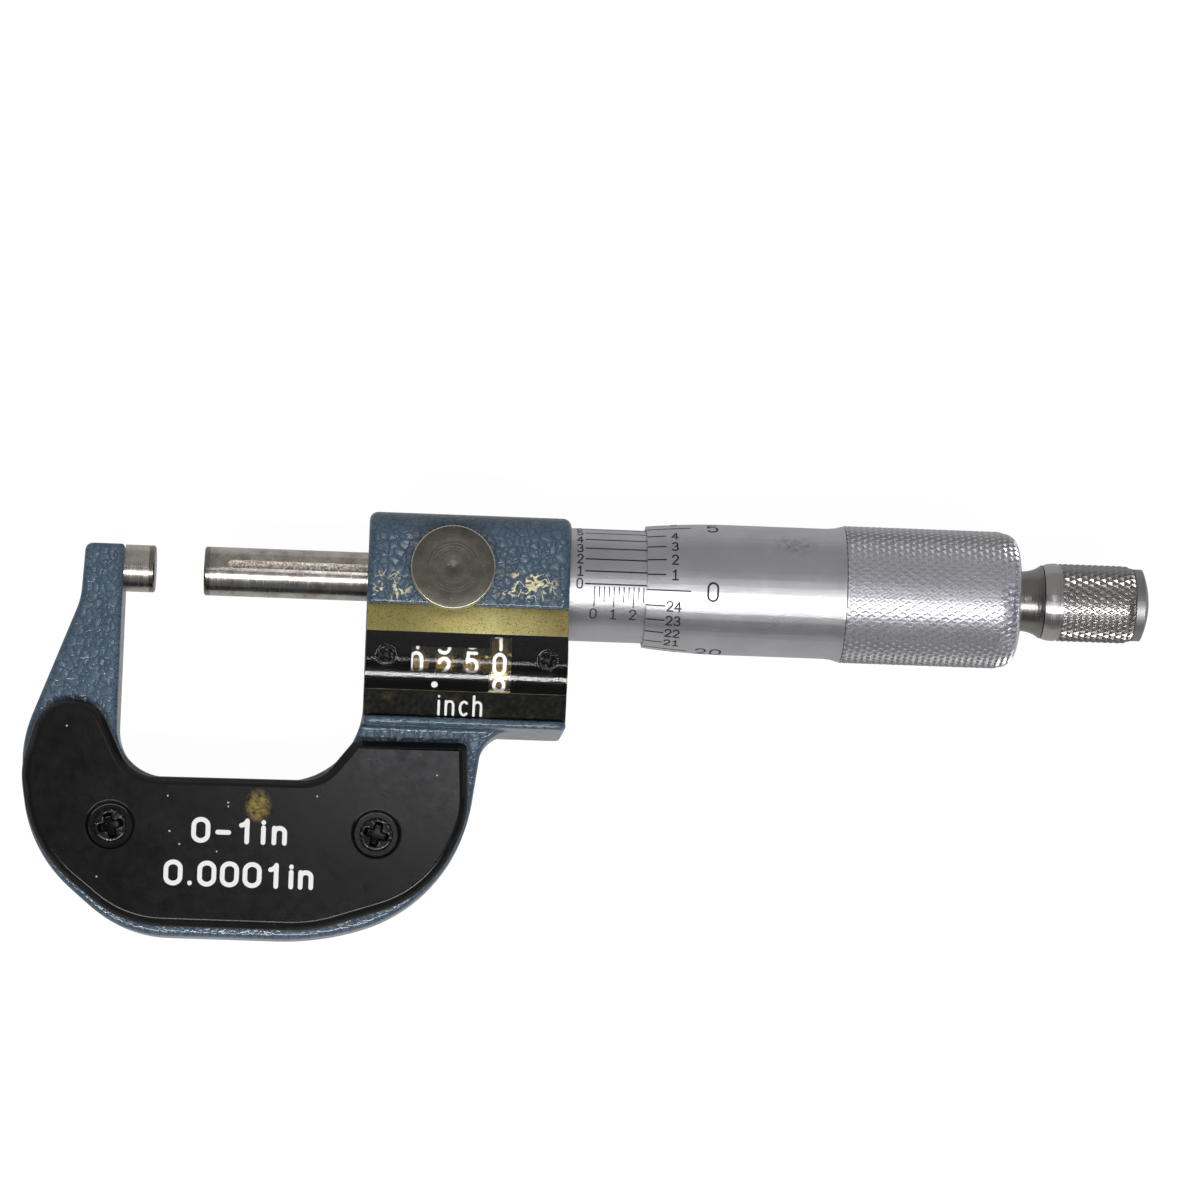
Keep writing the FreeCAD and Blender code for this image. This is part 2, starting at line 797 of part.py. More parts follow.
def saw_teeth(x_face, direction, outer_diameter, inner_diameter):
    """Ring of one-way ratchet teeth on a face that points along X by direction, +1 or -1."""
    step = 2 * math.pi / ratchet_teeth
    outer = outer_diameter / 2
    inner = inner_diameter / 2
    teeth = []
    for k in range(ratchet_teeth):
        foot = k * step if direction > 0 else (k + 1) * step
        crest = (k + 1) * step if direction > 0 else k * step
        corners = []
        for radius in (inner, outer):
            height = direction * ratchet_tooth_height * radius / outer
            foot_y = radius * math.cos(foot)
            foot_z = radius * math.sin(foot)
            crest_y = radius * math.cos(crest)
            crest_z = radius * math.sin(crest)
            low = vector(x_face, foot_y, foot_z)
            base = vector(x_face, crest_y, crest_z)
            top = vector(x_face + height, crest_y, crest_z)
            corners.append((low, base, top))
        (low_in, base_in, top_in), (low_out, base_out, top_out) = corners
        loops = [
            (low_in, base_in, top_in),
            (low_out, base_out, top_out),
            (low_in, low_out, base_out, base_in),
            (base_in, base_out, top_out, top_in),
            (low_in, low_out, top_out, top_in),
        ]
        faces = [Part.Face(Part.makePolygon([*loop, loop[0]])) for loop in loops]
        tooth = Part.Solid(Part.Shell(faces))
        if tooth.Volume < 0:
            tooth.reverse()
        teeth.append(tooth)
    return teeth


def clutch_face():
    """X of the clutch ring's face, which its teeth stand out of."""
    stem_face = neck_end + knob_gap + ratchet_ring_height
    return stem_face + ratchet_tooth_height + seat_clearance / 2


def build_ratchet_stem():
    """Stem screwed into the thimble: flared neck, ring of ratchet teeth and the knob's shaft."""
    neck_start = neck_start_diameter / 2
    neck_finish = neck_end_diameter / 2
    plug = tail_diameter / 2
    ring = ratchet_ring_diameter / 2
    ring_face = neck_end + knob_gap + ratchet_ring_height
    shares = [k / neck_steps for k in range(neck_steps + 1)]
    flare = [
        (thimble_end + share * neck_length, neck_start + share**3 * (neck_finish - neck_start))
        for share in shares
    ]
    body = turned(
        [
            (spindle_tail_end, 0),
            (spindle_tail_end, plug),
            (thimble_end, plug),
            *flare,
            (neck_end, ring),
            (ring_face, ring),
            (ring_face, ratchet_shaft_diameter / 2),
            (knob_end, ratchet_shaft_diameter / 2),
            (knob_end, 0),
        ]
    )
    hole = cylinder_x(knob_end - end_screw_thread_length, knob_end + cut_past, end_screw_thread_diameter)
    inner = ratchet_shaft_diameter + ratchet_tooth_margin
    return join([body.cut(hole)] + saw_teeth(ring_face, 1, ratchet_ring_diameter, inner))


def build_ratchet_clutch():
    """Ring whose teeth face the stem's; the spring presses it home."""
    face = clutch_face()
    outer = ratchet_ring_diameter
    bore = ratchet_shaft_diameter + 2 * seat_clearance
    ring = cylinder_x(face, face + clutch_length, outer)
    ring = ring.cut(cylinder_x(face - cut_past, face + clutch_length + cut_past, bore))
    return join([ring] + saw_teeth(face, -1, outer, ratchet_shaft_diameter + ratchet_tooth_margin))


def build_ratchet_knob():
    """Knurled knob with a smooth band and a line before the knurl, hollow for clutch and spring."""
    radius = knob_diameter / 2
    band_end = knob_start + knob_band_length
    groove_end = band_end + knob_groove_width
    shares = [k / rounding_steps for k in range(rounding_steps + 1)]
    front = [
        (knob_start + knob_start_rounding_length * (1 - share), radius - knob_start_rounding * share**2)
        for share in reversed(shares)
    ]
    taper_start = knob_end - knob_end_rounding_length
    taper = [
        (taper_start + knob_end_rounding_length * share, radius - knob_end_rounding * share**2)
        for share in shares
    ]
    body = turned(
        [
            (knob_start, 0),
            *front,
            (band_end, radius),
            (band_end, radius - knob_groove_depth),
            (groove_end, radius - knob_groove_depth),
            (groove_end, radius),
            *taper,
            (knob_end, 0),
        ]
    )
    cavity_end = knob_start + knob_cavity_depth
    body = body.cut(cylinder_x(knob_start - cut_past, cavity_end, knob_cavity_diameter))
    shaft_bore = ratchet_shaft_diameter + 2 * running_clearance
    return body.cut(cylinder_x(knob_start, knob_end + cut_past, shaft_bore))


def build_ratchet_spring():
    """Coil spring between the clutch and the knob's shoulder."""
    start = clutch_face() + clutch_length
    end = knob_start + knob_cavity_depth
    margin = spring_wire / 2 + seat_clearance
    height = end - start - 2 * margin
    radius = (ratchet_ring_diameter - spring_wire) / 2 - spring_to_cavity
    helix = Part.makeHelix(height / spring_turns, height, radius)
    section = Part.Wire([Part.makeCircle(spring_wire / 2, vector(radius, 0, 0), vector(0, 1, 0))])
    coil = Part.Wire(helix.Edges).makePipeShell([section], True, True)
    coil.rotate(ORIGIN, vector(0, 1, 0), 90)
    coil.translate(vector(start + margin, 0, 0))
    return coil


def build_ratchet_end_screw():
    """Domed screw that holds the knob on its shaft, with a driver slot."""
    start = knob_end + seat_clearance
    end = start + end_screw_height
    radius = end_screw_diameter / 2
    half = end_screw_slot_width / 2
    dome = Part.makeSphere(end_screw_dome_radius, vector(end - end_screw_dome_radius, 0, 0))
    head = cylinder_x(start, end, end_screw_diameter).common(dome)
    slot = block(end - end_screw_slot_depth, end + cut_past, -radius, radius, -half, half)
    head = head.cut(slot)
    thread_reach = end_screw_thread_length - seat_clearance
    thread = cylinder_x(knob_end - thread_reach, start, end_screw_thread_diameter)
    return join([head, thread])


def build_drive_gear():
    """Gear round the spindle, with a key that slides in the spindle's keyway."""
    teeth_end = drive_gear_x + drive_gear_width
    hub_start = drive_pocket_left + gear_side_clearance
    hub_end = flange_left - gear_side_clearance
    wheel = gear(drive_teeth, train_module, drive_gear_x, teeth_end, 0, 0, drive_phase)
    wheel = join([wheel, cylinder_x(hub_start, hub_end, drive_hub_diameter)])
    bore = spindle_diameter + 2 * running_clearance
    wheel = wheel.cut(cylinder_x(hub_start - cut_past, hub_end + cut_past, bore))
    half = keyway_width / 2 - running_clearance
    floor = spindle_radius - keyway_depth + running_clearance
    key = block(hub_start, hub_end, -half, half, floor, bore / 2 + drive_key_root)
    key.rotate(ORIGIN, X_AXIS, -keyway_angle)
    return join([wheel, key])


def build_idler():
    start = drive_gear_x + gear_side_clearance
    end = drive_gear_x + drive_gear_width - gear_side_clearance
    wheel = gear(idler_teeth, train_module, start, end, idler_y, idler_z, idler_phase)
    bore = idler_shaft_diameter + 2 * running_clearance
    return wheel.cut(cylinder_x(start - cut_past, end + cut_past, bore, idler_y, idler_z))


def wheel_middle(index):
    """X of a wheel's middle; index 0 is the units wheel on the left."""
    return first_wheel_x + index * wheel_pitch


def build_counter():
    """The four number wheels and the three transfer gears, phased so that every pair is in mesh."""
    wheels = {}
    transfers = {}
    phase = input_phase
    half = wheel_width / 2
    bore = wheel_shaft_diameter + 2 * running_clearance
    for index in reversed(range(wheel_count)):
        middle = wheel_middle(index)
        rim = cylinder_x(middle - half, middle + half, 2 * wheel_radius, wheel_axis_y, wheel_axis_z)
        pieces = [rim]
        if index == wheel_count - 1:
            end = drive_gear_x + drive_gear_width
            pieces.append(
                gear(input_teeth, train_module, middle + half, end, wheel_axis_y, wheel_axis_z, phase)
            )
        else:
            end = middle + half + ring_gear_width
            pieces.append(
                gear(ring_teeth, ring_module, middle + half, end, wheel_axis_y, wheel_axis_z, phase)
            )
        if index > 0:
            start = middle - half - pinion_width
            pieces.append(
                gear(pinion_teeth, disc_module, start, middle - half, wheel_axis_y, wheel_axis_z, phase)
            )
        wheel = join(pieces)
        wheels[index] = wheel.cut(
            cylinder_x(middle - wheel_pitch, end + cut_past, bore, wheel_axis_y, wheel_axis_z)
        )
        if index == 0:
            break
        disc_end = middle - half - transfer_side_gap
        disc_start = disc_end - transfer_disc_width
        disc_phase = meshing_phase(phase, pinion_teeth, transfer_teeth, down)
        next_face = wheel_middle(index - 1) + half
        disc = gear(
            transfer_teeth, disc_module, disc_start, disc_end, wheel_axis_y, transfer_axis_z, disc_phase
        )
        small = gear(
            small_teeth,
            ring_module,
            next_face + running_clearance,
            disc_start,
            wheel_axis_y,
            transfer_axis_z,
            disc_phase,
        )
        transfer = join([disc, small])
        transfer_bore = transfer_shaft_diameter + 2 * running_clearance
        transfers[index] = transfer.cut(
            cylinder_x(
                next_face - cut_past, disc_end + cut_past, transfer_bore, wheel_axis_y, transfer_axis_z
            )
        )
        phase = meshing_phase(disc_phase, small_teeth, ring_teeth, up)
    return wheels, transfers


def block_body(x_start, x_end):
    """An end block of the counter, fitted under the cover and inside the cavity."""
    under_cover = cover_profile(cover_thickness + seat_clearance, x_start, x_end)
    bottom = cavity_bottom + seat_clearance
    back = cavity_back + seat_clearance
    low = block(x_start, x_end, bottom, block_top, back, wheel_axis_z + wheel_radius)
    high = block(x_start, x_end, bottom, cavity_top - seat_clearance, end_block_high_z, above_all)
    upper = under_cover.common(high)
    below = block(x_start, x_end, head_bottom, 0, cavity_back, end_block_low_z)
    lower = low.common(join([under_cover, below]))
    return join([lower, upper])


def drill_block(body, x_start, x_end, screw_place):
    """Shaft holes and the window screw's hole in an end block."""
    start = x_start - cut_past
    end = x_end + cut_past
    body = body.cut(cylinder_x(start, end, wheel_shaft_diameter, wheel_axis_y, wheel_axis_z))
    body = body.cut(cylinder_x(start, end, transfer_shaft_diameter, wheel_axis_y, transfer_axis_z))
    x, y = screw_place
    hole_bottom = screw_bottom() - seat_clearance
    return body.cut(cylinder_z(x, y, hole_bottom, above_all, window_screw_diameter))


def screw_seat():
    """Height of the window screw's seat in its counterbore."""
    return wheel_axis_z + window_outer_radius - window_counterbore_depth


def screw_bottom():
    return screw_seat() - window_screw_length


def build_end_blocks():
    left_screw, right_screw = window_screw_places()
    left_start = cavity_left + seat_clearance
    left_end = left_start + end_block_width
    right_end = cavity_right - seat_clearance
    right_start = right_end - end_block_width
    left = drill_block(block_body(left_start, left_end), left_start, left_end, left_screw)
    right = drill_block(block_body(right_start, right_end), right_start, right_end, right_screw)
    right = right.cut(
        cylinder_x(right_start - cut_past, right_end + cut_past, idler_shaft_diameter, idler_y, idler_z)
    )
    return left, right


def build_shafts():
    left = cavity_left + seat_clearance
    right = cavity_right - seat_clearance
    wheel_shaft = cylinder_x(left, right, wheel_shaft_diameter, wheel_axis_y, wheel_axis_z)
    transfer_shaft = cylinder_x(left, right, transfer_shaft_diameter, wheel_axis_y, transfer_axis_z)
    idler_start = drive_gear_x - gear_side_clearance
    idler_shaft = cylinder_x(idler_start, right, idler_shaft_diameter, idler_y, idler_z)
    return wheel_shaft, transfer_shaft, idler_shaft


def build_cover():
    """Folded brass cover: two sloping strips and an arch over the wheels, open under the window."""
    start = head_left + cover_side_gap
    end = head_right - cover_side_gap
    skin = cover_profile(0, start, end)
    skin = skin.cut(cover_profile(cover_thickness, start - cut_past, end + cut_past))
    opening = block(
        window_clear_left,
        window_clear_right,
        wheel_axis_y - window_clear_half_height,
        wheel_axis_y + window_clear_half_height,
        wheel_axis_z,
        above_all,
    )
    skin = skin.cut(opening)
    for x, y in window_screw_places():
        skin = skin.cut(cylinder_z(x, y, 0, above_all, window_screw_diameter + 2 * seat_clearance))
    return skin


def build_window():
    """Convex moulded window over the whole width, with a counterbore at each end for its screw."""
    start = head_left + cover_side_gap
    end = head_right - cover_side_gap
    outer = cylinder_x(start, end, 2 * window_outer_radius, wheel_axis_y, wheel_axis_z)
    inner = cylinder_x(
        start - cut_past, end + cut_past, 2 * window_inner_radius, wheel_axis_y, wheel_axis_z
    )
    slab = block(
        start,
        end,
        wheel_axis_y - window_half_height,
        wheel_axis_y + window_half_height,
        wheel_axis_z,
        above_all,
    )
    window = outer.cut(inner).common(slab)
    for x, y in window_screw_places():
        hole = window_screw_diameter + 2 * seat_clearance
        bore = window_screw_head_diameter + 4 * seat_clearance
        window = window.cut(cylinder_z(x, y, 0, above_all, hole))
        window = window.cut(cylinder_z(x, y, screw_seat(), above_all, bore))
    return window


def build_window_screws():
    screws = []
    for x, y in window_screw_places():
        seat = screw_seat()
        top = seat + window_screw_head_height
        head = cylinder_z(x, y, seat, top, window_screw_head_diameter)
        head = head.makeFillet(window_screw_edge_radius, rim_edges(head, top))
        recess = cross_recess(
            x, y, top, window_screw_cross_length, window_screw_cross_width, window_screw_cross_depth
        )
        shank = cylinder_z(x, y, screw_bottom(), seat, window_screw_diameter)
        screws.append(join([head.cut(recess), shank]))
    return Part.makeCompound(screws)


def build_clamp_knob():
    """Round clamp knob with a turned rim, a boss and its screw in the head."""
    under = head_front + clamp_knob_gap
    top = under + clamp_knob_height
    knob = cylinder_z(clamp_x, clamp_y, under, top, clamp_knob_diameter)
    knob = knob.makeChamfer(clamp_knob_chamfer, rim_edges(knob, top))
    boss = cylinder_z(clamp_x, clamp_y, head_front + running_clearance, under, clamp_boss_diameter)
    screw = cylinder_z(clamp_x, clamp_y, clamp_screw_end_z, under, clamp_screw_diameter)
    return join([knob, boss, screw])


def build_clamp_shoe():
    """Small plug that the clamp screw presses on the spindle."""
    low = math.sqrt(spindle_radius**2 - clamp_y**2) + seat_clearance
    shoe = cylinder_z(clamp_x, clamp_y, 0, clamp_screw_end_z - running_clearance, clamp_screw_diameter)
    hollow = cylinder_x(clamp_x - clamp_screw_diameter, clamp_x + clamp_screw_diameter, 2 * low)
    return shoe.cut(hollow)


save("frame", build_frame())
save("anvil", build_anvil())
save("anvil_tip", build_anvil_tip())
front_plate = build_front_plate()
front_plate_screws = build_front_plate_screws()
save("front_plate", front_plate)
save("back_plate", mirrored_to_back(front_plate))
save("front_plate_screws", front_plate_screws)
save("back_plate_screws", mirrored_to_back(front_plate_screws))
save("spindle", build_spindle())
save("spindle_tip", build_spindle_tip())
save("inner_sleeve", build_inner_sleeve())
save("adjusting_nut", build_adjusting_nut())
save("outer_sleeve", build_outer_sleeve())
save("thimble", build_thimble())
save("ratchet_stem", build_ratchet_stem())
save("ratchet_clutch", build_ratchet_clutch())
save("ratchet_spring", build_ratchet_spring())
save("ratchet_knob", build_ratchet_knob())
save("ratchet_end_screw", build_ratchet_end_screw())
save("drive_gear", build_drive_gear())
save("idler_gear", build_idler())
number_wheels, transfer_gears = build_counter()
for wheel_index, wheel_shape in number_wheels.items():
    save("number_wheel_" + str(wheel_index + 1), wheel_shape)
for gear_index, gear_shape in transfer_gears.items():
    save("transfer_gear_" + str(gear_index), gear_shape)
left_block, right_block = build_end_blocks()
save("counter_end_left", left_block)
save("counter_end_right", right_block)
wheel_shaft, transfer_shaft, idler_shaft = build_shafts()
save("wheel_shaft", wheel_shaft)
save("transfer_shaft", transfer_shaft)
save("idler_shaft", idler_shaft)
save("counter_cover", build_cover())
save("counter_window", build_window())
save("window_screws", build_window_screws())
save("clamp_knob", build_clamp_knob())
save("clamp_shoe", build_clamp_shoe())
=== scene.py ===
"""Looks of an outside micrometer with a geared counter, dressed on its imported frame."""

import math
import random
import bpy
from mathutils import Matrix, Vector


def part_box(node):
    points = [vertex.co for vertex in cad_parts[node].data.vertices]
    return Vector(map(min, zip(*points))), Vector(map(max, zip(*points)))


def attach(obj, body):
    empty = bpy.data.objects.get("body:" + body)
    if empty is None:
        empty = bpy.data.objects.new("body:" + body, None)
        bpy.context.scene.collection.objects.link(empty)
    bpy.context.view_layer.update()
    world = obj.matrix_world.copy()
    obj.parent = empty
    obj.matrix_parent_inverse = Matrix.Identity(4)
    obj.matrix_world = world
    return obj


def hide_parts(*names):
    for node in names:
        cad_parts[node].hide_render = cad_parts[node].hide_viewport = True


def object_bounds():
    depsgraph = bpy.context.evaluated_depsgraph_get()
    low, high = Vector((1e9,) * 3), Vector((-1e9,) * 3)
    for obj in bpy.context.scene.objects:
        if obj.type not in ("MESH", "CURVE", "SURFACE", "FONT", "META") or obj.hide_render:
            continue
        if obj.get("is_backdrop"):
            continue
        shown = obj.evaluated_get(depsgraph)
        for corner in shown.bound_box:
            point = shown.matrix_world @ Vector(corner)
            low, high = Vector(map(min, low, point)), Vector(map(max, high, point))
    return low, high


bl_info = {
    "name": "Outside micrometer looks",
    "version": (1, 0, 0),
    "blender": (4, 5, 0),
    "location": "3D View > Sidebar > Micrometer",
    "description": "Dresses the micrometer: enamel, plates, scales, knurls, counter and light",
    "category": "Object",
}

import bpy
from mathutils import Matrix, Vector

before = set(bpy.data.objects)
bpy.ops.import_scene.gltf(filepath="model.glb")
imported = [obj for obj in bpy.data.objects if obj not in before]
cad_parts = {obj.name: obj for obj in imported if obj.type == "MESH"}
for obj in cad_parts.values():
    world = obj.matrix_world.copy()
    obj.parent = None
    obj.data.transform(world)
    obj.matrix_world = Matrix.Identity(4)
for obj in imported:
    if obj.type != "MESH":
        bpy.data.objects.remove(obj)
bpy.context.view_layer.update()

MM = 0.001
PER_INCH = 25.4


def node_box(name):
    """Lowest and highest corners of a CAD node, in millimetres."""
    low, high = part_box(name)
    return low / MM, high / MM


# Colour

def linear(hex_colour):
    """An sRGB hex value as linear red, green, blue and alpha."""
    values = []
    for start in (1, 3, 5):
        part = int(hex_colour[start:start + 2], 16) / 255
        values.append(part / 12.92 if part <= 0.04045 else ((part + 0.055) / 1.055) ** 2.4)
    return (*values, 1.0)


# Settings that a user would change

class MicrometerSettings(bpy.types.PropertyGroup):
    """Sizes in millimetres and colours as sRGB hex."""

    knurl_rows: bpy.props.IntProperty(
        name="Grip knurl rows", description="Diamonds round the thimble's grip", default=58, min=12)
    knurl_length: bpy.props.FloatProperty(
        name="Grip diamond length (mm)", description="One diamond along the grip", default=1.6)
    knurl_depth: bpy.props.FloatProperty(
        name="Grip knurl depth (mm)", description="From a diamond's top to the groove", default=0.36)
    knob_rows: bpy.props.IntProperty(
        name="Knob knurl rows", description="Diamonds round the ratchet knob", default=38, min=12)
    knob_knurl_length: bpy.props.FloatProperty(
        name="Knob diamond length (mm)", description="One diamond along the knob", default=1.53)
    knob_knurl_depth: bpy.props.FloatProperty(
        name="Knob knurl depth (mm)", description="From a diamond's top to the groove", default=0.26)
    print_height: bpy.props.FloatProperty(
        name="Print thickness (mm)", description="How far ink stands proud", default=0.02)
    scale_line: bpy.props.FloatProperty(
        name="Scale line width (mm)", description="Width of the engraved lines", default=0.19)
    enamel: bpy.props.StringProperty(
        name="Enamel", description="Body of the hammertone enamel", default="#43596C")
    enamel_vein: bpy.props.StringProperty(
        name="Enamel vein", description="Dark veins between the cells", default="#324353")
    bare_metal: bpy.props.StringProperty(
        name="Bare metal", description="Where the enamel is scuffed off", default="#E6DEB2")
    plate: bpy.props.StringProperty(
        name="Plate", description="Black insulating plate", default="#101011")
    white_ink: bpy.props.StringProperty(
        name="White ink", description="Words on the plate and cover", default="#F4F4F2")
    dark_line: bpy.props.StringProperty(
        name="Scale line", description="Filled lines of the scales", default="#17171B")
    brass: bpy.props.StringProperty(
        name="Brass", description="Worn brass of the counter's cover", default="#E6D78C")
    chrome: bpy.props.StringProperty(
        name="Satin chrome", description="Sleeve, thimble and knob", default="#CBCBCF")
    steel: bpy.props.StringProperty(
        name="Ground steel", description="Anvil and spindle", default="#CBC6BE")
    clamp: bpy.props.StringProperty(
        name="Clamp steel", description="Dull faced steel of the clamp knob", default="#66635A")


def settings():
    """The sizes and colours that a user may have changed."""
    return bpy.context.scene.micrometer


# Nodes and materials

# A Mix node's colour sockets
UNDER, OVER, MIXED = 6, 7, 2


def feed(tree, node, inputs):
    """Sets a node's inputs: a socket is linked, a hex colour or a number is set."""
    for key, value in inputs.items():
        if isinstance(value, bpy.types.NodeSocket):
            tree.links.new(value, node.inputs[key])
        elif isinstance(value, str):
            node.inputs[key].default_value = linear(value)
        else:
            node.inputs[key].default_value = value


def add(tree, kind, inputs, output=0, **options):
    """Adds a shader node with its options, and its inputs' values and links; returns one of its outputs."""
    node = tree.nodes.new("ShaderNode" + kind)
    for key, value in options.items():
        setattr(node, key, value)
    feed(tree, node, inputs)
    return node.outputs[output]


def new_material(name, colour, metallic, roughness, **sockets):
    """A material with its shader's even values set; returns it with its tree, shader and place in mm."""
    material = bpy.data.materials.new(name)
    material.use_nodes = True
    material.diffuse_color = linear(colour)
    tree = material.node_tree
    shader = tree.nodes["Principled BSDF"]
    feed(tree, shader, {"Base Color": colour, "Metallic": metallic, "Roughness": roughness})
    feed(tree, shader, {key.replace("_", " "): value for key, value in sockets.items()})
    metres = add(tree, "TexCoord", {}, "Object")
    place = add(tree, "VectorMath", {0: metres, "Scale": 1 / MM}, operation="SCALE")
    return material, tree, shader, place


def patches(tree, place, size_mm, low, high, to_low=0.0, to_high=1.0, detail=3.0, grit=0.5):
    """Uneven patches about size_mm across; the noise from low to high is spread over two values."""
    lumps = add(tree, "TexNoise", {"Vector": place, "Scale": 1 / size_mm, "Detail": detail,
                                   "Roughness": grit})
    return add(tree, "MapRange", {0: lumps, 1: low, 2: high, 3: to_low, 4: to_high})


def spot(tree, place, centre, half_size, soft=0.35):
    """1 inside an ellipsoid and 0 outside, with a soft rim."""
    away = add(tree, "VectorMath", {0: place, 1: centre}, operation="SUBTRACT")
    scaled = add(tree, "VectorMath", {0: away, 1: half_size}, operation="DIVIDE")
    length = add(tree, "VectorMath", {0: scaled}, "Value", operation="LENGTH")
    return add(tree, "MapRange", {0: length, 1: 1.0, 2: 1.0 - soft})


def coats(tree, base, *laid):
    """A base colour with coats laid over it in turn, each given as its mask and its colour."""
    for mask, colour in laid:
        base = add(tree, "Mix", {"Factor": mask, UNDER: base, OVER: colour}, MIXED, data_type="RGBA")
    return base


def dress(names, material):
    """Gives CAD nodes their finish."""
    for name in names:
        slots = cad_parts[name].data.materials
        slots.clear()
        slots.append(material)


def round_edges(name, radius_mm, degrees=40.0):
    """Rounds a CAD node's sharp edges a little, so that light catches on them."""
    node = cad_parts[name]
    weld = node.modifiers.new("weld", "WELD")
    weld.merge_threshold = 0.002 * MM
    planes = node.modifiers.new("planes", "DECIMATE")
    planes.decimate_type = "DISSOLVE"
    planes.angle_limit = math.radians(0.5)
    bevel = node.modifiers.new("bevel", "BEVEL")
    bevel.use_clamp_overlap = False
    bevel.width = radius_mm * MM
    bevel.segments = 3
    bevel.limit_method = "ANGLE"
    bevel.angle_limit = math.radians(degrees)
    bevel.harden_normals = True


def hammertone_enamel():
    """Hammer-finish alkyd enamel on cast iron: round paint cells about 1 mm wide with darker veins."""
    s = settings()
    material, tree, shader, place = new_material("hammertone_enamel", s.enamel, 0.0, 0.3,
                                                 Specular_IOR_Level=0.8)
    cell_width = 1.05
    shift = add(tree, "TexNoise", {"Vector": place, "Scale": 0.9, "Detail": 2.0}, "Color")
    warped = add(tree, "VectorMath", {0: shift, 1: (0.8, 0.8, 0.8), 2: place}, operation="MULTIPLY_ADD")
    cells = {"Vector": warped, "Scale": 1 / cell_width, "Randomness": 0.9}
    border = add(tree, "TexVoronoi", cells, "Distance", feature="DISTANCE_TO_EDGE")
    tint = add(tree, "TexVoronoi", cells, "Color")
    shade, shine = (add(tree, "SeparateColor", {0: tint}, part) for part in ("Green", "Blue"))
    vein = add(tree, "MapRange", {0: border, 1: 0.11, 2: 0.0, 3: 0.0, 4: 0.9})
    # letterless scuffs down to bare metal beside the clamp knob
    left = spot(tree, place, (30.6, -2.0, 9.0), (2.9, 2.2, 1.5))
    right = spot(tree, place, (47.9, -1.6, 9.0), (4.6, 2.3, 1.5))
    zone = add(tree, "Math", {0: left, 1: right}, operation="ADD", use_clamp=True)
    wander = add(tree, "TexNoise", {"Vector": place, "Scale": 1 / 1.1, "Detail": 1.5, "Distortion": 0.6})
    off_middle = add(tree, "Math", {0: wander, 1: 0.5}, operation="SUBTRACT")
    distance = add(tree, "Math", {0: off_middle}, operation="ABSOLUTE")
    line = add(tree, "MapRange", {0: distance, 1: 0.05, 2: 0.025})
    gaps = patches(tree, place, 1.7, 0.45, 0.52, detail=2.0)
    scratches = add(tree, "Math", {0: line, 1: gaps}, operation="MULTIPLY")
    marks = add(tree, "Math", {0: scratches, 1: patches(tree, place, 0.9, 0.60, 0.66)}, operation="MAXIMUM")
    bare = add(tree, "Math", {0: marks, 1: zone}, operation="MULTIPLY")
    rough = add(tree, "MapRange", {0: shine, 1: 0.0, 2: 1.0, 3: 0.16, 4: 0.26})
    near = add(tree, "MapRange", {0: border, 1: 0.45, 2: 0.0})
    hollow = add(tree, "Math", {0: near, 1: 2.0}, operation="POWER")
    dome = add(tree, "Math", {0: 1.0, 1: hollow}, operation="SUBTRACT")
    feed(tree, shader, {
        "Base Color": coats(tree, s.enamel, (shade, "#536879"),
                            (patches(tree, place, 6.0, 0.35, 0.7, to_high=0.5), "#3E5262"),
                            (vein, s.enamel_vein), (bare, s.bare_metal)),
        "Metallic": add(tree, "Math", {0: bare, 1: 0.35}, operation="MULTIPLY"),
        "Roughness": add(tree, "Math", {0: bare, 1: 0.15, 2: rough}, operation="MULTIPLY_ADD"),
        "Normal": add(tree, "Bump", {"Height": dome, "Distance": 0.05 * MM})})
    return material


def ground_steel(ground_radius):
    """Hardened tool steel, ground round and round: bright, warm, with very fine rings along the turn."""
    s = settings()
    material, tree, shader, place = new_material("ground_steel", s.steel, 1.0, 0.2)
    stretched = add(tree, "VectorMath", {0: place, 1: (9.0, 0.25, 0.25)}, operation="MULTIPLY")
    rings = add(tree, "TexNoise", {"Vector": stretched, "Scale": 1.0, "Detail": 3.0})
    # the keyway's floor, cut with a mill, lies deeper than the ground skin and is rougher; its lighter colour,
    # with near white patches, is a painted highlight
    across = add(tree, "VectorMath", {0: place, 1: (0.0, 1.0, 1.0)}, operation="MULTIPLY")
    reach = add(tree, "VectorMath", {0: across}, "Value", operation="LENGTH")
    milled_and_painted_highlight = add(tree, "MapRange", {0: reach, 1: ground_radius - 0.12, 2: ground_radius - 0.22})
    # painted highlight: the keyway floor's colour, lighter than the steel, with near white patches
    floor = coats(tree, "#9C9080", (patches(tree, place, 0.3, 0.4, 0.6, grit=0.7), "#FBF6EE"))
    rough = add(tree, "MapRange", {0: rings, 1: 0.3, 2: 0.7, 3: 0.16, 4: 0.28})
    feed(tree, shader, {
        "Base Color": coats(tree, s.steel,
                            (patches(tree, place, 2.2, 0.42, 0.7, detail=5.0, grit=0.65), "#9A9186"),
                            (milled_and_painted_highlight, floor)),
        "Roughness": add(tree, "Math", {0: milled_and_painted_highlight, 1: 0.3, 2: rough}, operation="MULTIPLY_ADD"),
        "Normal": add(tree, "Bump", {"Height": rings, "Distance": 0.002 * MM})})
    return material


def lapped_carbide():
    """Tungsten carbide tip, lapped: darker and greyer than the steel behind it."""
    material, tree, shader, place = new_material("lapped_carbide", "#8D867C", 1.0, 0.22)
    feed(tree, shader, {"Roughness": patches(tree, place, 0.15, 0.3, 0.7, 0.16, 0.3, detail=2.0)})
    return material


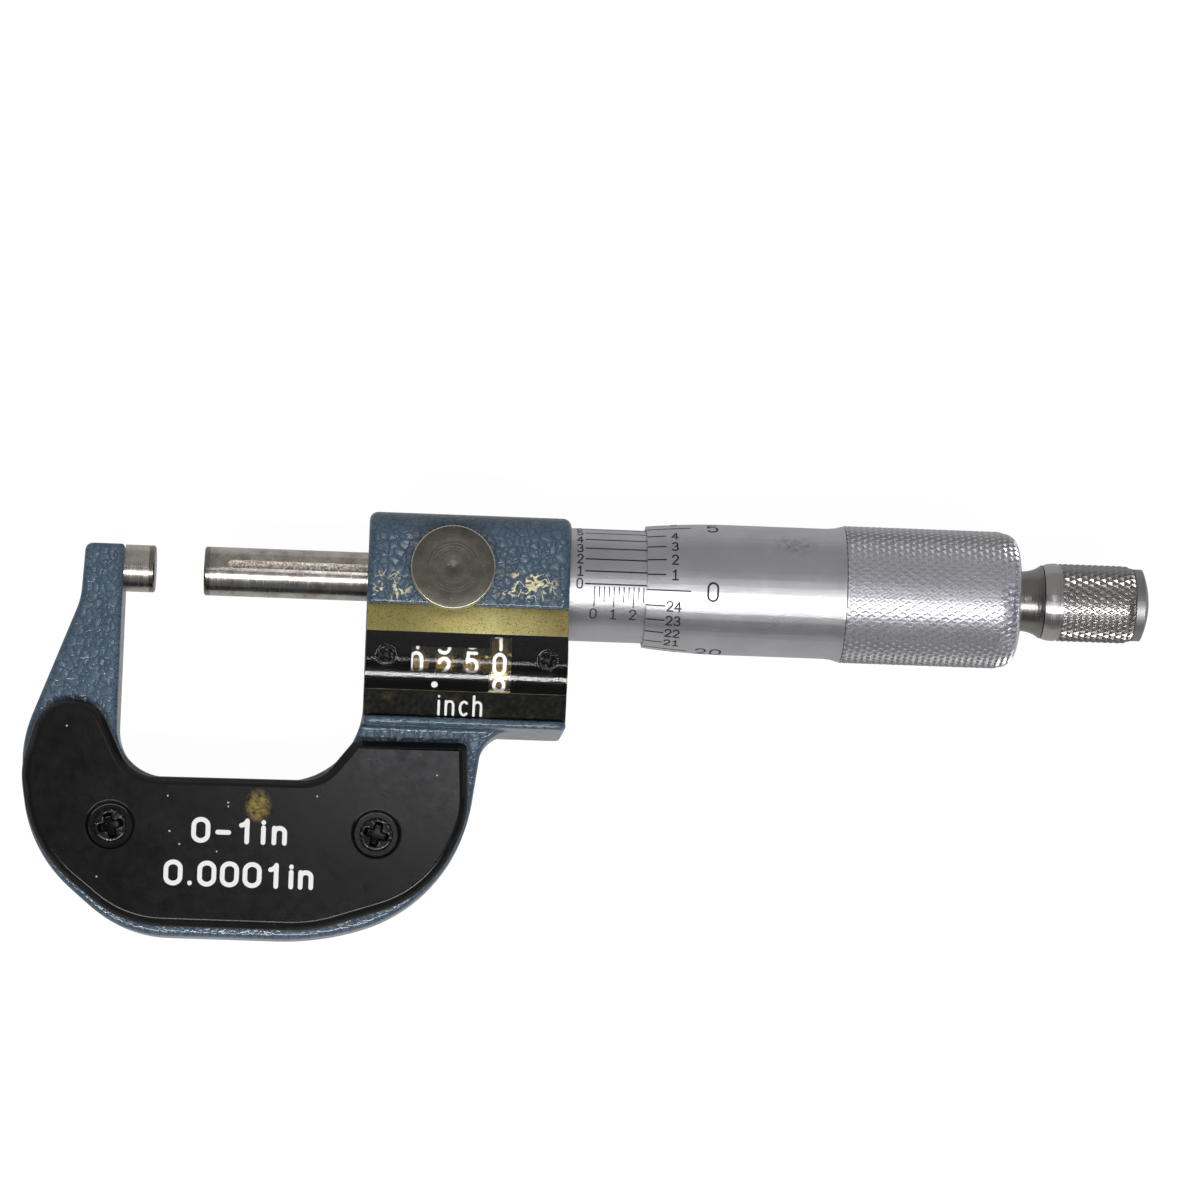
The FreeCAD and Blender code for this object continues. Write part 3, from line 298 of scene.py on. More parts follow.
def turned_steel(name, colour, low_rough, high_rough):
    """Turned free-cutting steel: fine rings round its axis."""
    material, tree, shader, place = new_material(name, colour, 1.0, 0.3)
    stretched = add(tree, "VectorMath", {0: place, 1: (7.0, 0.3, 0.3)}, operation="MULTIPLY")
    rings = add(tree, "TexNoise", {"Vector": stretched, "Scale": 1.0, "Detail": 2.0})
    feed(tree, shader, {
        "Roughness": add(tree, "MapRange", {0: rings, 1: 0.3, 2: 0.7, 3: low_rough, 4: high_rough}),
        "Normal": add(tree, "Bump", {"Height": rings, "Distance": 0.003 * MM})})
    return material


def satin_chrome(knurled_from=1000.0):
    """Satin chrome plate on steel: a grey, soft shine with a fine grain; the knurled grip's colour is painted
    brighter, a painted sheen.
    """
    s = settings()
    material, tree, shader, place = new_material("satin_chrome", s.chrome, 1.0, 0.36)
    grain = add(tree, "TexNoise", {"Vector": place, "Scale": 1 / 0.2, "Detail": 3.0, "Roughness": 0.7})
    along = add(tree, "SeparateXYZ", {0: place}, "X")
    step = {0: along, 1: knurled_from - 0.05, 2: knurled_from + 0.05}
    # painted sheen: the colour beyond knurled_from is painted near white
    cut = add(tree, "MapRange", {**step, 3: 0.0, 4: 0.6})
    plain = add(tree, "MapRange", {**step, 3: 1.0, 4: 0.0})
    # a finger stain near the thimble's top
    smear = add(tree, "Math", {0: spot(tree, place, (82.5, 5.4, 6.5), (3.8, 1.9, 2.6), 0.7),
                               1: patches(tree, place, 0.7, 0.42, 0.62, to_high=0.6, detail=4.0, grit=0.7)},
                operation="MULTIPLY")
    rough = add(tree, "MapRange", {0: grain, 1: 0.3, 2: 0.7, 3: 0.25, 4: 0.39})
    height = add(tree, "Math", {0: grain, 1: plain}, operation="MULTIPLY")
    cloud = patches(tree, place, 5.0, 0.35, 0.7, to_high=0.5, detail=4.0, grit=0.6)
    feed(tree, shader, {
        "Base Color": coats(tree, s.chrome, (cloud, "#B4B4B9"), (smear, "#86868A"), (cut, "#F2F2F6")),
        "Roughness": add(tree, "Math", {0: plain, 1: 0.03, 2: rough}, operation="MULTIPLY_ADD"),
        "Normal": add(tree, "Bump", {"Height": height, "Distance": 0.026 * MM})})
    return material


def black_moulding():
    """Black phenolic moulding, semi-gloss, with hairline scratches and one brown stain."""
    s = settings()
    material, tree, shader, place = new_material("black_moulding", s.plate, 0.0, 0.2,
                                                 Specular_IOR_Level=0.3)
    turned = add(tree, "VectorRotate", {"Vector": place, "Angle": math.radians(55.0)},
                 rotation_type="Z_AXIS")
    drawn_out = add(tree, "VectorMath", {0: turned, 1: (0.16, 5.0, 1.0)}, operation="MULTIPLY")
    hairs = add(tree, "Math", {0: patches(tree, drawn_out, 1.0, 0.70, 0.78, detail=2.0),
                               1: patches(tree, place, 6.0, 0.5, 0.65, to_high=0.25, detail=1.0)},
                operation="MULTIPLY")
    stain = add(tree, "Math", {0: spot(tree, place, (14.65, -30.7, 6.7), (1.8, 2.3, 2.0), 0.45),
                               1: patches(tree, place, 0.7, 0.36, 0.6, detail=4.0, grit=0.7)},
                operation="MULTIPLY")
    rough = patches(tree, place, 1.4, 0.3, 0.7, 0.15, 0.24, detail=4.0, grit=0.6)
    orange_peel = add(tree, "TexNoise", {"Vector": place, "Scale": 1 / 0.5, "Detail": 3.0})
    feed(tree, shader, {
        "Base Color": coats(tree, s.plate,
                            (patches(tree, place, 7.0, 0.35, 0.7, detail=4.0, grit=0.6), "#19191A"),
                            (hairs, "#77746C"), (stain, "#93803F")),
        "Roughness": add(tree, "Math", {0: stain, 1: 0.3, 2: rough}, operation="MULTIPLY_ADD"),
        "Normal": add(tree, "Bump", {"Height": orange_peel, "Distance": 0.004 * MM})})
    return material


def black_oxide(painted_shade_crosses=()):
    """Steel with a black oxide skin: near black, half bright on its edges; the screws' cross recesses are
    painted near black, a painted shade.
    """
    material, tree, shader, place = new_material("black_oxide", "#161616", 0.5, 0.2)
    laid = [(patches(tree, place, 0.35, 0.55, 0.75), "#8C8C88")]
    for x, y, turn, length, width in painted_shade_crosses:
        moved = add(tree, "VectorMath", {0: place, 1: (x, y, 0.0)}, operation="SUBTRACT")
        turned = add(tree, "VectorRotate", {"Vector": moved, "Angle": -turn}, rotation_type="Z_AXIS")
        u, v = (add(tree, "Math", {0: add(tree, "SeparateXYZ", {0: turned}, axis)}, operation="ABSOLUTE")
                for axis in ("X", "Y"))
        arms = []
        for along, across in ((u, v), (v, u)):
            end = add(tree, "MapRange", {0: along, 1: length / 2 + 0.02, 2: length / 2 - 0.1})
            flank = add(tree, "MapRange", {0: across, 1: width / 2 + 0.02, 2: width / 2 - 0.08})
            arms.append(add(tree, "Math", {0: end, 1: flank}, operation="MULTIPLY"))
        # painted shade: each cross recess is coloured near black
        laid.append((add(tree, "Math", {0: arms[0], 1: arms[1]}, operation="MAXIMUM"), "#040404"))
    feed(tree, shader, {"Base Color": coats(tree, "#242424", *laid)})
    return material


def worn_brass_cover(strip_edge_y):
    """Rolled brass sheet, lacquer gone on the upper strip and black paint left on the lower one."""
    s = settings()
    material, tree, shader, place = new_material("worn_brass", s.brass, 1.0, 0.36)
    bright = coats(tree, "#FFF4A8", (patches(tree, place, 3.0, 0.35, 0.7, detail=4.0, grit=0.6), s.brass))
    # painted highlight: a soft bright spot in the middle of the strip
    painted_hot_spot = spot(tree, place, (42.5, strip_edge_y + 9.2, 10.0), (10.5, 5.0, 4.0), 0.9)
    specks = patches(tree, place, 0.22, 0.56, 0.63, to_high=0.85, grit=0.75)
    back = add(tree, "SeparateXYZ", {0: place}, "Y")
    lower = add(tree, "MapRange", {0: back, 1: strip_edge_y + 0.05, 2: strip_edge_y - 0.05})
    paint = add(tree, "Math", {0: lower,
                               1: patches(tree, place, 2.6, 0.56, 0.74, 1.0, 0.9, detail=4.0, grit=0.65)},
                operation="MULTIPLY")
    rough = patches(tree, place, 0.6, 0.3, 0.7, 0.26, 0.38)
    rolling = add(tree, "TexNoise", {"Vector": place, "Scale": 1 / 0.25, "Detail": 3.0})
    feed(tree, shader, {
        "Base Color": coats(tree, "#A2955A", (painted_hot_spot, bright), (specks, "#2E2612"), (paint, "#14140F")),
        "Metallic": add(tree, "Math", {0: paint, 1: -0.1, 2: 0.25}, operation="MULTIPLY_ADD"),
        "Roughness": add(tree, "Math", {0: paint, 1: -0.12, 2: rough}, operation="MULTIPLY_ADD"),
        "Normal": add(tree, "Bump", {"Height": rolling, "Distance": 0.003 * MM})})
    return material


def cut_brass():
    """Free-cutting brass of the gears, as cut: bright yellow, a little uneven."""
    material, tree, shader, place = new_material("cut_brass", "#B79A52", 1.0, 0.3)
    feed(tree, shader, {"Roughness": patches(tree, place, 0.4, 0.3, 0.7, 0.24, 0.4)})
    return material


def blackened_brass():
    """Blackened brass of the number wheels: dark, and warm where light glances off a rim."""
    material, tree, shader, place = new_material("blackened_brass", "#6A5A30", 1.0, 0.3)
    feed(tree, shader, {"Roughness": patches(tree, place, 0.3, 0.3, 0.7, 0.24, 0.38)})
    return material


def clear_acrylic():
    """Moulded acrylic, clear; lamps shine through it on the wheels below."""
    material, tree, shader, place = new_material(
        "clear_acrylic", "#FFFFFF", 0.0, 0.04, IOR=1.49, Transmission_Weight=1.0)
    waves = add(tree, "TexNoise", {"Vector": place, "Scale": 1 / 0.3, "Detail": 2.0})
    feed(tree, shader, {"Roughness": patches(tree, place, 0.8, 0.3, 0.7, 0.06, 0.12, detail=2.0),
                        "Normal": add(tree, "Bump", {"Height": waves, "Distance": 0.012 * MM})})
    shadow = add(tree, "LightPath", {}, "Is Shadow Ray")
    clear = add(tree, "BsdfTransparent", {})
    both = add(tree, "MixShader", {0: shadow, 1: shader.outputs[0], 2: clear})
    feed(tree, tree.nodes["Material Output"], {"Surface": both})
    return material


def ink(name, colour, roughness=0.5, gloss=0.5):
    """Printing ink: flat colour, a little uneven; no gloss of its own where it lies against the acrylic."""
    material, tree, shader, place = new_material(name, colour, 0.0, roughness, Specular_IOR_Level=gloss)
    feed(tree, shader, {"Roughness": patches(tree, place, 0.3, 0.3, 0.7, roughness - 0.08, roughness + 0.08)})
    return material


def dull_steel(centre, rim_radius):
    """Clamp knob of plain steel, faced in the lathe and gone dull: rings and blotches, with a painted
    highlight round its rim.
    """
    s = settings()
    material, tree, shader, place = new_material("dull_steel", s.clamp, 0.85, 0.42)
    away = add(tree, "VectorMath", {0: place, 1: centre}, operation="SUBTRACT")
    level = add(tree, "VectorMath", {0: away, 1: (1.0, 1.0, 0.0)}, operation="MULTIPLY")
    radius = add(tree, "VectorMath", {0: level}, "Value", operation="LENGTH")
    tool_step = add(tree, "Math", {0: radius, 1: 5.0}, operation="MULTIPLY")
    rings = add(tree, "TexNoise", {"W": tool_step, "Scale": 1.0, "Detail": 2.0}, noise_dimensions="1D")
    # painted highlight: a pale ring of colour along the knob's rim
    rim = add(tree, "MapRange", {0: radius, 1: rim_radius - 0.2, 2: rim_radius - 0.12, 3: 0.0, 4: 0.9})
    feed(tree, shader, {
        "Base Color": coats(tree, s.clamp,
                            (patches(tree, place, 1.6, 0.35, 0.7, detail=5.0, grit=0.65), "#504E46"),
                            (patches(tree, place, 0.4, 0.68, 0.74, to_high=0.5), "#C2BEAE"),
                            (rim, "#D8D3C2")),
        "Roughness": add(tree, "MapRange", {0: rings, 1: 0.3, 2: 0.7, 3: 0.34, 4: 0.5}),
        "Normal": add(tree, "Bump", {"Height": rings, "Distance": 0.02 * MM})})
    return material


# Mesh code

def mesh_piece(name, shape, material, body, sharp_degrees=None):
    """A piece from a shape in millimetres; it rides on a body."""
    mesh = bpy.data.meshes.new(name)
    mesh.from_pydata([tuple(value * MM for value in v) for v in shape.vertices], [], shape.faces)
    mesh.validate()
    mesh.update()
    mesh.materials.append(material)
    if sharp_degrees is not None:
        mesh.shade_smooth()
        mesh.set_sharp_from_angle(angle=math.radians(sharp_degrees))
    piece = bpy.data.objects.new(name, mesh)
    bpy.context.scene.collection.objects.link(piece)
    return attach(piece, body)


def around_x(x, radius, angle, y=0.0, z=0.0):
    """A point round an axis along X; the angle runs from Z towards Y."""
    return (x, y + radius * math.sin(angle), z + radius * math.cos(angle))


class Shape:
    """Vertices and faces of one mesh as it grows."""

    def __init__(self):
        self.vertices = []
        self.faces = []

    def ring(self, points):
        """Adds points; returns their numbers."""
        start = len(self.vertices)
        self.vertices.extend(points)
        return list(range(start, start + len(points)))

    def bridge(self, first, second):
        """Quads between two rings of as many points; outside lies to the left of first to second."""
        count = len(first)
        for i in range(count):
            j = (i + 1) % count
            self.faces.append((first[i], first[j], second[j], second[i]))

    def cap(self, ring, flipped=False):
        """One face over a ring."""
        self.faces.append(tuple(reversed(ring)) if flipped else tuple(ring))


def knurl_band(shape, x_start, x_end, outline, depth, count, rows, top):
    """Diamond knurl on a turned outline: truncated pyramids with narrow flat grooves between them.

    The pyramids' flat tops and feet are given as shares of a whole diamond. Returns the numbers and
    angles of the points on the first and the last ring.
    """
    foot = 0.87
    step = (x_end - x_start) / rows
    half_turn = math.pi / count
    around = 2 * count
    made = {}

    def point(row, column, sunk):
        """The number of the point at a row and a column, made once."""
        key = (round(row, 4), round(column % around, 4), sunk)
        if key not in made:
            x = x_start + row * step
            made[key] = len(shape.vertices)
            shape.vertices.append(around_x(x, outline(x) - (depth if sunk else 0.0), column * half_turn))
        return made[key]

    def face(*places):
        """A face through places, cut off at the band's ends and facing out."""
        kept = [place for place in places if 0 <= place[0] <= rows]
        turn = sum(p[0] * q[1] - q[0] * p[1] for p, q in zip(kept, kept[1:] + kept[:1]))
        shape.faces.append(tuple(point(*place) for place in (kept if turn > 0 else reversed(kept))))

    def diamond(row, column, half, sunk):
        """The four corners round a place."""
        return [(row - half, column, sunk), (row, column + half, sunk),
                (row + half, column, sunk), (row, column - half, sunk)]

    for row in range(rows + 1):
        for column in range(around):
            if (row + column) % 2:
                face(*diamond(row, column, 1 - foot, True))
                continue
            tops, feet = diamond(row, column, top, False), diamond(row, column, foot, True)
            face(*tops)
            for i in range(4):
                j = (i + 1) % 4
                if 0 <= tops[i][0] <= rows and 0 <= tops[j][0] <= rows:
                    face(feet[i], tops[i], tops[j], feet[j])
            if row < rows:
                for side in (1, -1):
                    face((row + foot, column, True), (row, column + side * foot, True),
                         (row + 1 - foot, column + side, True), (row + 1, column + side * (1 - foot), True))
            wall = [point(*place) for place in (feet[1], tops[1], tops[3], feet[3])]
            if row == 0:
                shape.faces.append(tuple(wall))
            if row == rows:
                shape.faces.append(tuple(reversed(wall)))

    def end_ring(row):
        """The points on the first or the last row, all round."""
        columns = [c + side * foot for c in range(row % 2, around, 2) for side in (-1, 1)]
        return [point(row, c, True) for c in columns], [c * half_turn for c in columns]

    return end_ring(0), end_ring(rows)


def turned_rings(shape, profile, angles):
    """Rings of points from (x, radius) pairs, bridged one to the next; returns the first and the last."""
    rings = [shape.ring([around_x(x, r, angle) for angle in angles]) for x, r in profile]
    for first, second in zip(rings, rings[1:]):
        shape.bridge(first, second)
    return rings[0], rings[-1]


# Print and filled lines reach a little into the surface, and crossing strokes lie one step apart
PRINT_SINK = 0.01
STROKE_STEP = 0.004
FILL_HEIGHT = 0.012

# Strokes of the figures and letters, in parts of the capital height

def arc(cx, cy, rx, ry, start, end, steps=14):
    """Points on an arc of an ellipse, in degrees."""
    turn = [math.radians(start + (end - start) * i / steps) for i in range(steps + 1)]
    return [(cx + rx * math.cos(a), cy + ry * math.sin(a)) for a in turn]


GLYPHS = {
    "0": (0.58, [arc(0.29, 0.70, 0.27, 0.30, 0, 180) + arc(0.29, 0.30, 0.27, 0.30, 180, 360)
                 + [(0.56, 0.70)]]),
    "1": (0.58, [[(0.34, 1.0), (0.34, 0.0)], [(0.12, 0.78), (0.22, 0.82), (0.33, 0.95)]]),
    "2": (0.58, [arc(0.29, 0.72, 0.26, 0.28, 170, -30) + [(0.03, 0.0), (0.57, 0.0)]]),
    "3": (0.58, [arc(0.27, 0.75, 0.24, 0.25, 150, -90) + arc(0.27, 0.26, 0.28, 0.26, 80, -150)]),
    "4": (0.58, [[(0.43, 0.0), (0.43, 1.0), (0.02, 0.28), (0.58, 0.28)]]),
    "5": (0.58, [[(0.52, 1.0), (0.10, 1.0), (0.06, 0.54)] + arc(0.28, 0.33, 0.28, 0.33, 130, -145)]),
    "6": (0.58, [arc(0.29, 0.31, 0.26, 0.31, 180, -180), arc(0.75, 0.31, 0.72, 0.75, 180, 112)]),
    "7": (0.58, [[(0.02, 1.0), (0.56, 1.0), (0.20, 0.0)]]),
    "8": (0.58, [arc(0.29, 0.76, 0.23, 0.24, 0, 360), arc(0.29, 0.26, 0.28, 0.26, 0, 360)]),
    "9": (0.58, [arc(0.29, 0.69, 0.26, 0.31, 0, 360), arc(-0.17, 0.69, 0.72, 0.75, 0, -68)]),
    "-": (0.46, [[(0.02, 0.42), (0.44, 0.42)]]),
    ".": (0.14, [[(0.07, 0.03), (0.07, 0.035)]]),
    "i": (0.10, [[(0.05, 0.0), (0.05, 0.70)], [(0.05, 0.94), (0.05, 0.95)]]),
    "n": (0.46, [[(0.03, 0.0), (0.03, 0.70)],
                 [(0.03, 0.42)] + arc(0.23, 0.48, 0.20, 0.22, 160, 0) + [(0.43, 0.0)]]),
    "c": (0.44, [arc(0.25, 0.35, 0.22, 0.35, 50, 310)]),
    "h": (0.46, [[(0.03, 0.0), (0.03, 1.0)],
                 [(0.03, 0.42)] + arc(0.23, 0.48, 0.20, 0.22, 160, 0) + [(0.43, 0.0)]]),
}


def finely(points, longest):
    """The same line with no step longer than given, so that it can bend round a barrel."""
    fine = [points[0]]
    for a, b in zip(points, points[1:]):
        parts = max(1, math.ceil(math.dist(a, b) / longest))
        fine.extend((a[0] + (b[0] - a[0]) * k / parts, a[1] + (b[1] - a[1]) * k / parts)
                    for k in range(1, parts + 1))
    return fine


def stroke(shape, points, width, surface, height, longest=0.4):
    """A closed ribbon with round ends along a line; surface(u, v, h) places it on a barrel or a plate."""
    points = finely(points, longest)
    if len(points) > 4 and math.dist(points[0], points[-1]) < 0.3 * width:
        closed_stroke(shape, points[:-1], width, surface, height)
        return
    count = len(points)
    half = width / 2
    sides = []
    for i in range(count):
        before, after = points[max(i - 1, 0)], points[min(i + 1, count - 1)]
        here = points[i]
        a = Vector((here[0] - before[0], here[1] - before[1]))
        b = Vector((after[0] - here[0], after[1] - here[1]))
        a = a if a.length > 1e-9 else b
        b = b if b.length > 1e-9 else a
        a, b = a.normalized(), b.normalized()
        across = Vector((-(a + b).y, (a + b).x))
        across = across.normalized() if across.length > 1e-6 else Vector((-a.y, a.x))
        reach = half / max(0.6, across.dot(Vector((-a.y, a.x))))
        sides.append(((here[0] + across.x * reach, here[1] + across.y * reach),
                      (here[0] - across.x * reach, here[1] - across.y * reach)))
    left = [side[0] for side in sides]
    right = [side[1] for side in sides]
    caps = []
    for end, other in ((points[-1], points[-2]), (points[0], points[1])):
        facing = math.atan2(end[1] - other[1], end[0] - other[0])
        caps.append([(end[0] + half * math.cos(facing + math.radians(a)),
                      end[1] + half * math.sin(facing + math.radians(a))) for a in (60, 30, 0, -30, -60)])
    outline = left + caps[0] + right[::-1] + caps[1]
    total = len(outline)
    start = len(shape.vertices)
    for level in (height, -PRINT_SINK):
        shape.vertices.extend(surface(u, v, level) for u, v in outline)
    end_cap = list(range(count - 1, count + 6))
    start_cap = [*range(2 * count + 4, total), 0]
    quads = [(i, i + 1, 2 * count + 3 - i, 2 * count + 4 - i) for i in range(count - 1)]
    for face in quads + [tuple(end_cap), tuple(start_cap)]:
        shape.faces.append(tuple(start + i for i in reversed(face)))
        shape.faces.append(tuple(start + total + i for i in face))
    for i in range(total):
        j = (i + 1) % total
        shape.faces.append((start + i, start + j, start + total + j, start + total + i))


def closed_stroke(shape, points, width, surface, height):
    """A ribbon along a closed loop."""
    count = len(points)
    rings = []
    for i, here in enumerate(points):
        before, after = points[i - 1], points[(i + 1) % count]
        along = Vector((after[0] - before[0], after[1] - before[1])).normalized()
        across = Vector((-along.y, along.x)) * (width / 2)
        left, right = (here[0] + across.x, here[1] + across.y), (here[0] - across.x, here[1] - across.y)
        rings.append(shape.ring([surface(*left, -PRINT_SINK), surface(*left, height),
                                 surface(*right, height), surface(*right, -PRINT_SINK)]))
    for i in range(count):
        shape.bridge(rings[(i + 1) % count], rings[i])


def words(shape, text, u, v, height, width, surface, thick, gap=0.24, middle=False, squeeze=1.0, footed=False):
    """Writes figures or letters with their lower left corner, or their middle, at u, v."""
    length = sum(GLYPHS[c][0] * squeeze + gap for c in text) - gap
    x = u - length * height / 2 if middle else u
    y = v - height / 2 if middle else v
    for c in text:
        advance, strokes = GLYPHS[c]
        foot = [[(0.1, 0.0), (0.58, 0.0)]] if footed and c == "1" else []
        for level, points in enumerate(strokes + foot):
            placed = [(x + px * height * squeeze, y + py * height) for px, py in points]
            stroke(shape, placed, width, surface, thick + STROKE_STEP * level)
        x += (advance * squeeze + gap) * height


def disc(shape, u, v, radius, surface, height, sides, seed=None):
    """A small round dot, or an uneven speck with a seed."""
    uneven = random.Random(seed)
    reach = [radius * (uneven.uniform(0.6, 1.2) if seed is not None else 1.0) for _ in range(sides)]
    turn = [2 * math.pi * i / sides for i in range(sides)]
    upper, lower = (shape.ring([surface(u + r * math.cos(a), v + r * math.sin(a), level)
                                for r, a in zip(reach, turn)]) for level in (height, -PRINT_SINK))
    shape.cap(upper)
    shape.cap(lower, flipped=True)
    shape.bridge(lower, upper)


def barrel(radius, zero_angle=0.0, y=0.0, z=0.0):
    """A surface round an axis along X: u is X, v runs round from the zero angle towards Y."""
    return lambda u, v, h: around_x(u, radius + h, zero_angle + v / radius, y, z)


def flat(z):
    """A flat surface facing Z."""
    return lambda u, v, h: (u, v, z + h)


# The thimble's outline and its scale share these values
SLEEVE_ZERO_X = 56.7
SLEEVE_ZERO_ANGLE = math.radians(-5.2)
THIMBLE_ZERO_ANGLE = math.radians(-8.8)
BEVEL_LENGTH = 12.0
DIVISION = 2 * math.pi / 25


# The screws' crosses: length, width and depth
PLATE_CROSS = (3.4, 1.1, 0.65)
WINDOW_CROSS = (2.0, 0.6, 0.3)


def screws(name, body, places, top, side, radius, head_height, cross):
    """Black screws with cross-recessed heads in place of a node; a place is x, y and the cross's turn."""
    cross_length, cross_width, cross_depth = cross
    shape = Shape()
    rings, columns, corners = 16, 72, 4
    rounding, crown = 0.16 * radius, 0.06 * radius
    edge = radius - rounding
    turns = [2 * math.pi * i / columns for i in range(columns)]

    def arm(along, across):
        """1 inside one arm of the cross, easing to 0 over its flanks and its slanting ends."""
        half = cross_width / 2 * (1.0 - 0.25 * abs(along) / (cross_length / 2))
        flank = min(1.0, max(0.0, (half - abs(across)) / 0.16 + 0.5))
        end = min(1.0, max(0.0, (cross_length / 2 - abs(along)) / (0.3 * cross_length / 2)))
        return flank * end

    for x, y, turn in places:
        levels = []
        for k in range(1, rings + 1):
            r = edge * k / rings
            points = []
            for a in turns:
                u, v = r * math.cos(a - turn), r * math.sin(a - turn)
                sunk = cross_depth * max(arm(u, v), arm(v, u)) + crown * (r / edge) ** 2
                points.append((x + r * math.cos(a), y + r * math.sin(a), top - side * sunk))
            levels.append(shape.ring(points))
        leans = [math.pi / 2 * k / corners for k in range(1, corners + 1)]
        outside = [(edge + rounding * math.sin(a), crown + rounding * (1 - math.cos(a))) for a in leans]
        for r, sunk in outside + [(radius, head_height), (0.5 * radius, head_height)]:
            z = top - side * sunk
            levels.append(shape.ring([(x + r * math.cos(a), y + r * math.sin(a), z) for a in turns]))
        for first, second in zip(levels, levels[1:]):
            shape.bridge(*((second, first) if side > 0 else (first, second)))
        shape.cap(levels[0], flipped=side < 0)
        shape.cap(levels[-1], flipped=side > 0)
    finish = black_oxide([(*place, cross_length, cross_width) for place in places])
    piece = mesh_piece(name + "_dressed", shape, finish, body, 50.0)
    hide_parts(name)


class BuildEnamel(bpy.types.Operator):
    """Paints the cast frame in hammertone enamel"""

    bl_idname = "micrometer.enamel"
    bl_label = "Frame enamel"

    def execute(self, context):
        dress(["frame"], hammertone_enamel())
        round_edges("frame", 0.5)
        return {"FINISHED"}


class BuildSteel(bpy.types.Operator):
    """Finishes the anvil, the spindle and the pieces inside"""

    bl_idname = "micrometer.steel"
    bl_label = "Steel and brass pieces"

    def execute(self, context):
        dress(["anvil", "spindle"], ground_steel(node_box("spindle_tip")[1].y))
        dress(["anvil_tip", "spindle_tip"], lapped_carbide())
        dress(["inner_sleeve", "adjusting_nut", "wheel_shaft", "transfer_shaft", "idler_shaft",
               "ratchet_clutch", "ratchet_spring"], turned_steel("turned_steel", "#B9B9B8", 0.22, 0.36))
        dress(["drive_gear", "idler_gear", "transfer_gear_1", "transfer_gear_2", "transfer_gear_3",
               "clamp_shoe"], cut_brass())
        dress(["counter_end_left", "counter_end_right"], black_oxide())
        return {"FINISHED"}


# Words on the front plate: text, left end, foot, and the gap between letters as a part of their height
PLATE_LINES = (("0-1in", 6.5, -35.36, 0.41), ("0.0001in", 3.2, -40.9, 0.345))
LETTER_HEIGHT = 2.7
LETTER_LINE = 0.6
# Specks of dust on the front plate, x and y
SPECKS = ((-10.1, -21.3), (3.1, -29.8), (10.8, -30.4), (10.85, -30.9), (22.1, -29.2), (3.5, -34.3),
          (4.8, -35.9), (9.6, -36.7), (-5.5, -40.4), (37.3, -26.0))


class BuildPlates(bpy.types.Operator):
    """Makes the plates' finish, words and specks, and the screws' heads"""

    bl_idname = "micrometer.plates"
    bl_label = "Insulating plates"

    def execute(self, context):
        s = settings()
        dress(["front_plate", "back_plate"], black_moulding())
        for name in ("front_plate", "back_plate"):
            round_edges(name, 0.3, 30.0)
        for name, side in (("front_plate_screws", 1), ("back_plate_screws", -1)):
            low, high = node_box(name)
            radius = (high.y - low.y) / 2
            ends = (low.x + radius, high.x - radius)
            places = [(x, (low.y + high.y) / 2, 0.3 + turn) for turn, x in enumerate(ends)]
            top = high.z if side > 0 else low.z
            screws(name, "frame", places, top, side, radius, 1.0, PLATE_CROSS)
        face = node_box("front_plate")[1].z
        print_shape = Shape()
        for text, left, foot, gap in PLATE_LINES:
            words(print_shape, text, left, foot, LETTER_HEIGHT, LETTER_LINE, flat(face), s.print_height,
                  gap=gap, squeeze=1.245)
        mesh_piece("plate_words", print_shape, ink("white_ink", s.white_ink), "frame")
        specks = Shape()
        for seed, (x, y) in enumerate(SPECKS):
            disc(specks, x, y, 0.13, flat(face), 0.01, 9, seed=seed)
        mesh_piece("plate_specks", specks, ink("dust", "#C9C9C4", 0.8), "frame")
        return {"FINISHED"}


# Where each number wheel stands at rest, from the left, in digits, and the wheels' places and size
SHOWN_DIGITS = (0.07, 2.25, 5.0, 0.02)
FIRST_WHEEL_X = 34.1
WHEEL_SPACING = 3.54
WHEEL_RADIUS = 5.0
# The window's wall, the edges of its bare openings along x and y, and the openings as column and row
WINDOW_THICKNESS = 0.78
OPENING_X = (33.45, 43.4, 46.2)
OPENING_Y = (-15.24, -13.02, -9.96, -8.47)
OPENINGS = {(1, 2), (2, 1), (2, 2), (2, 3)}


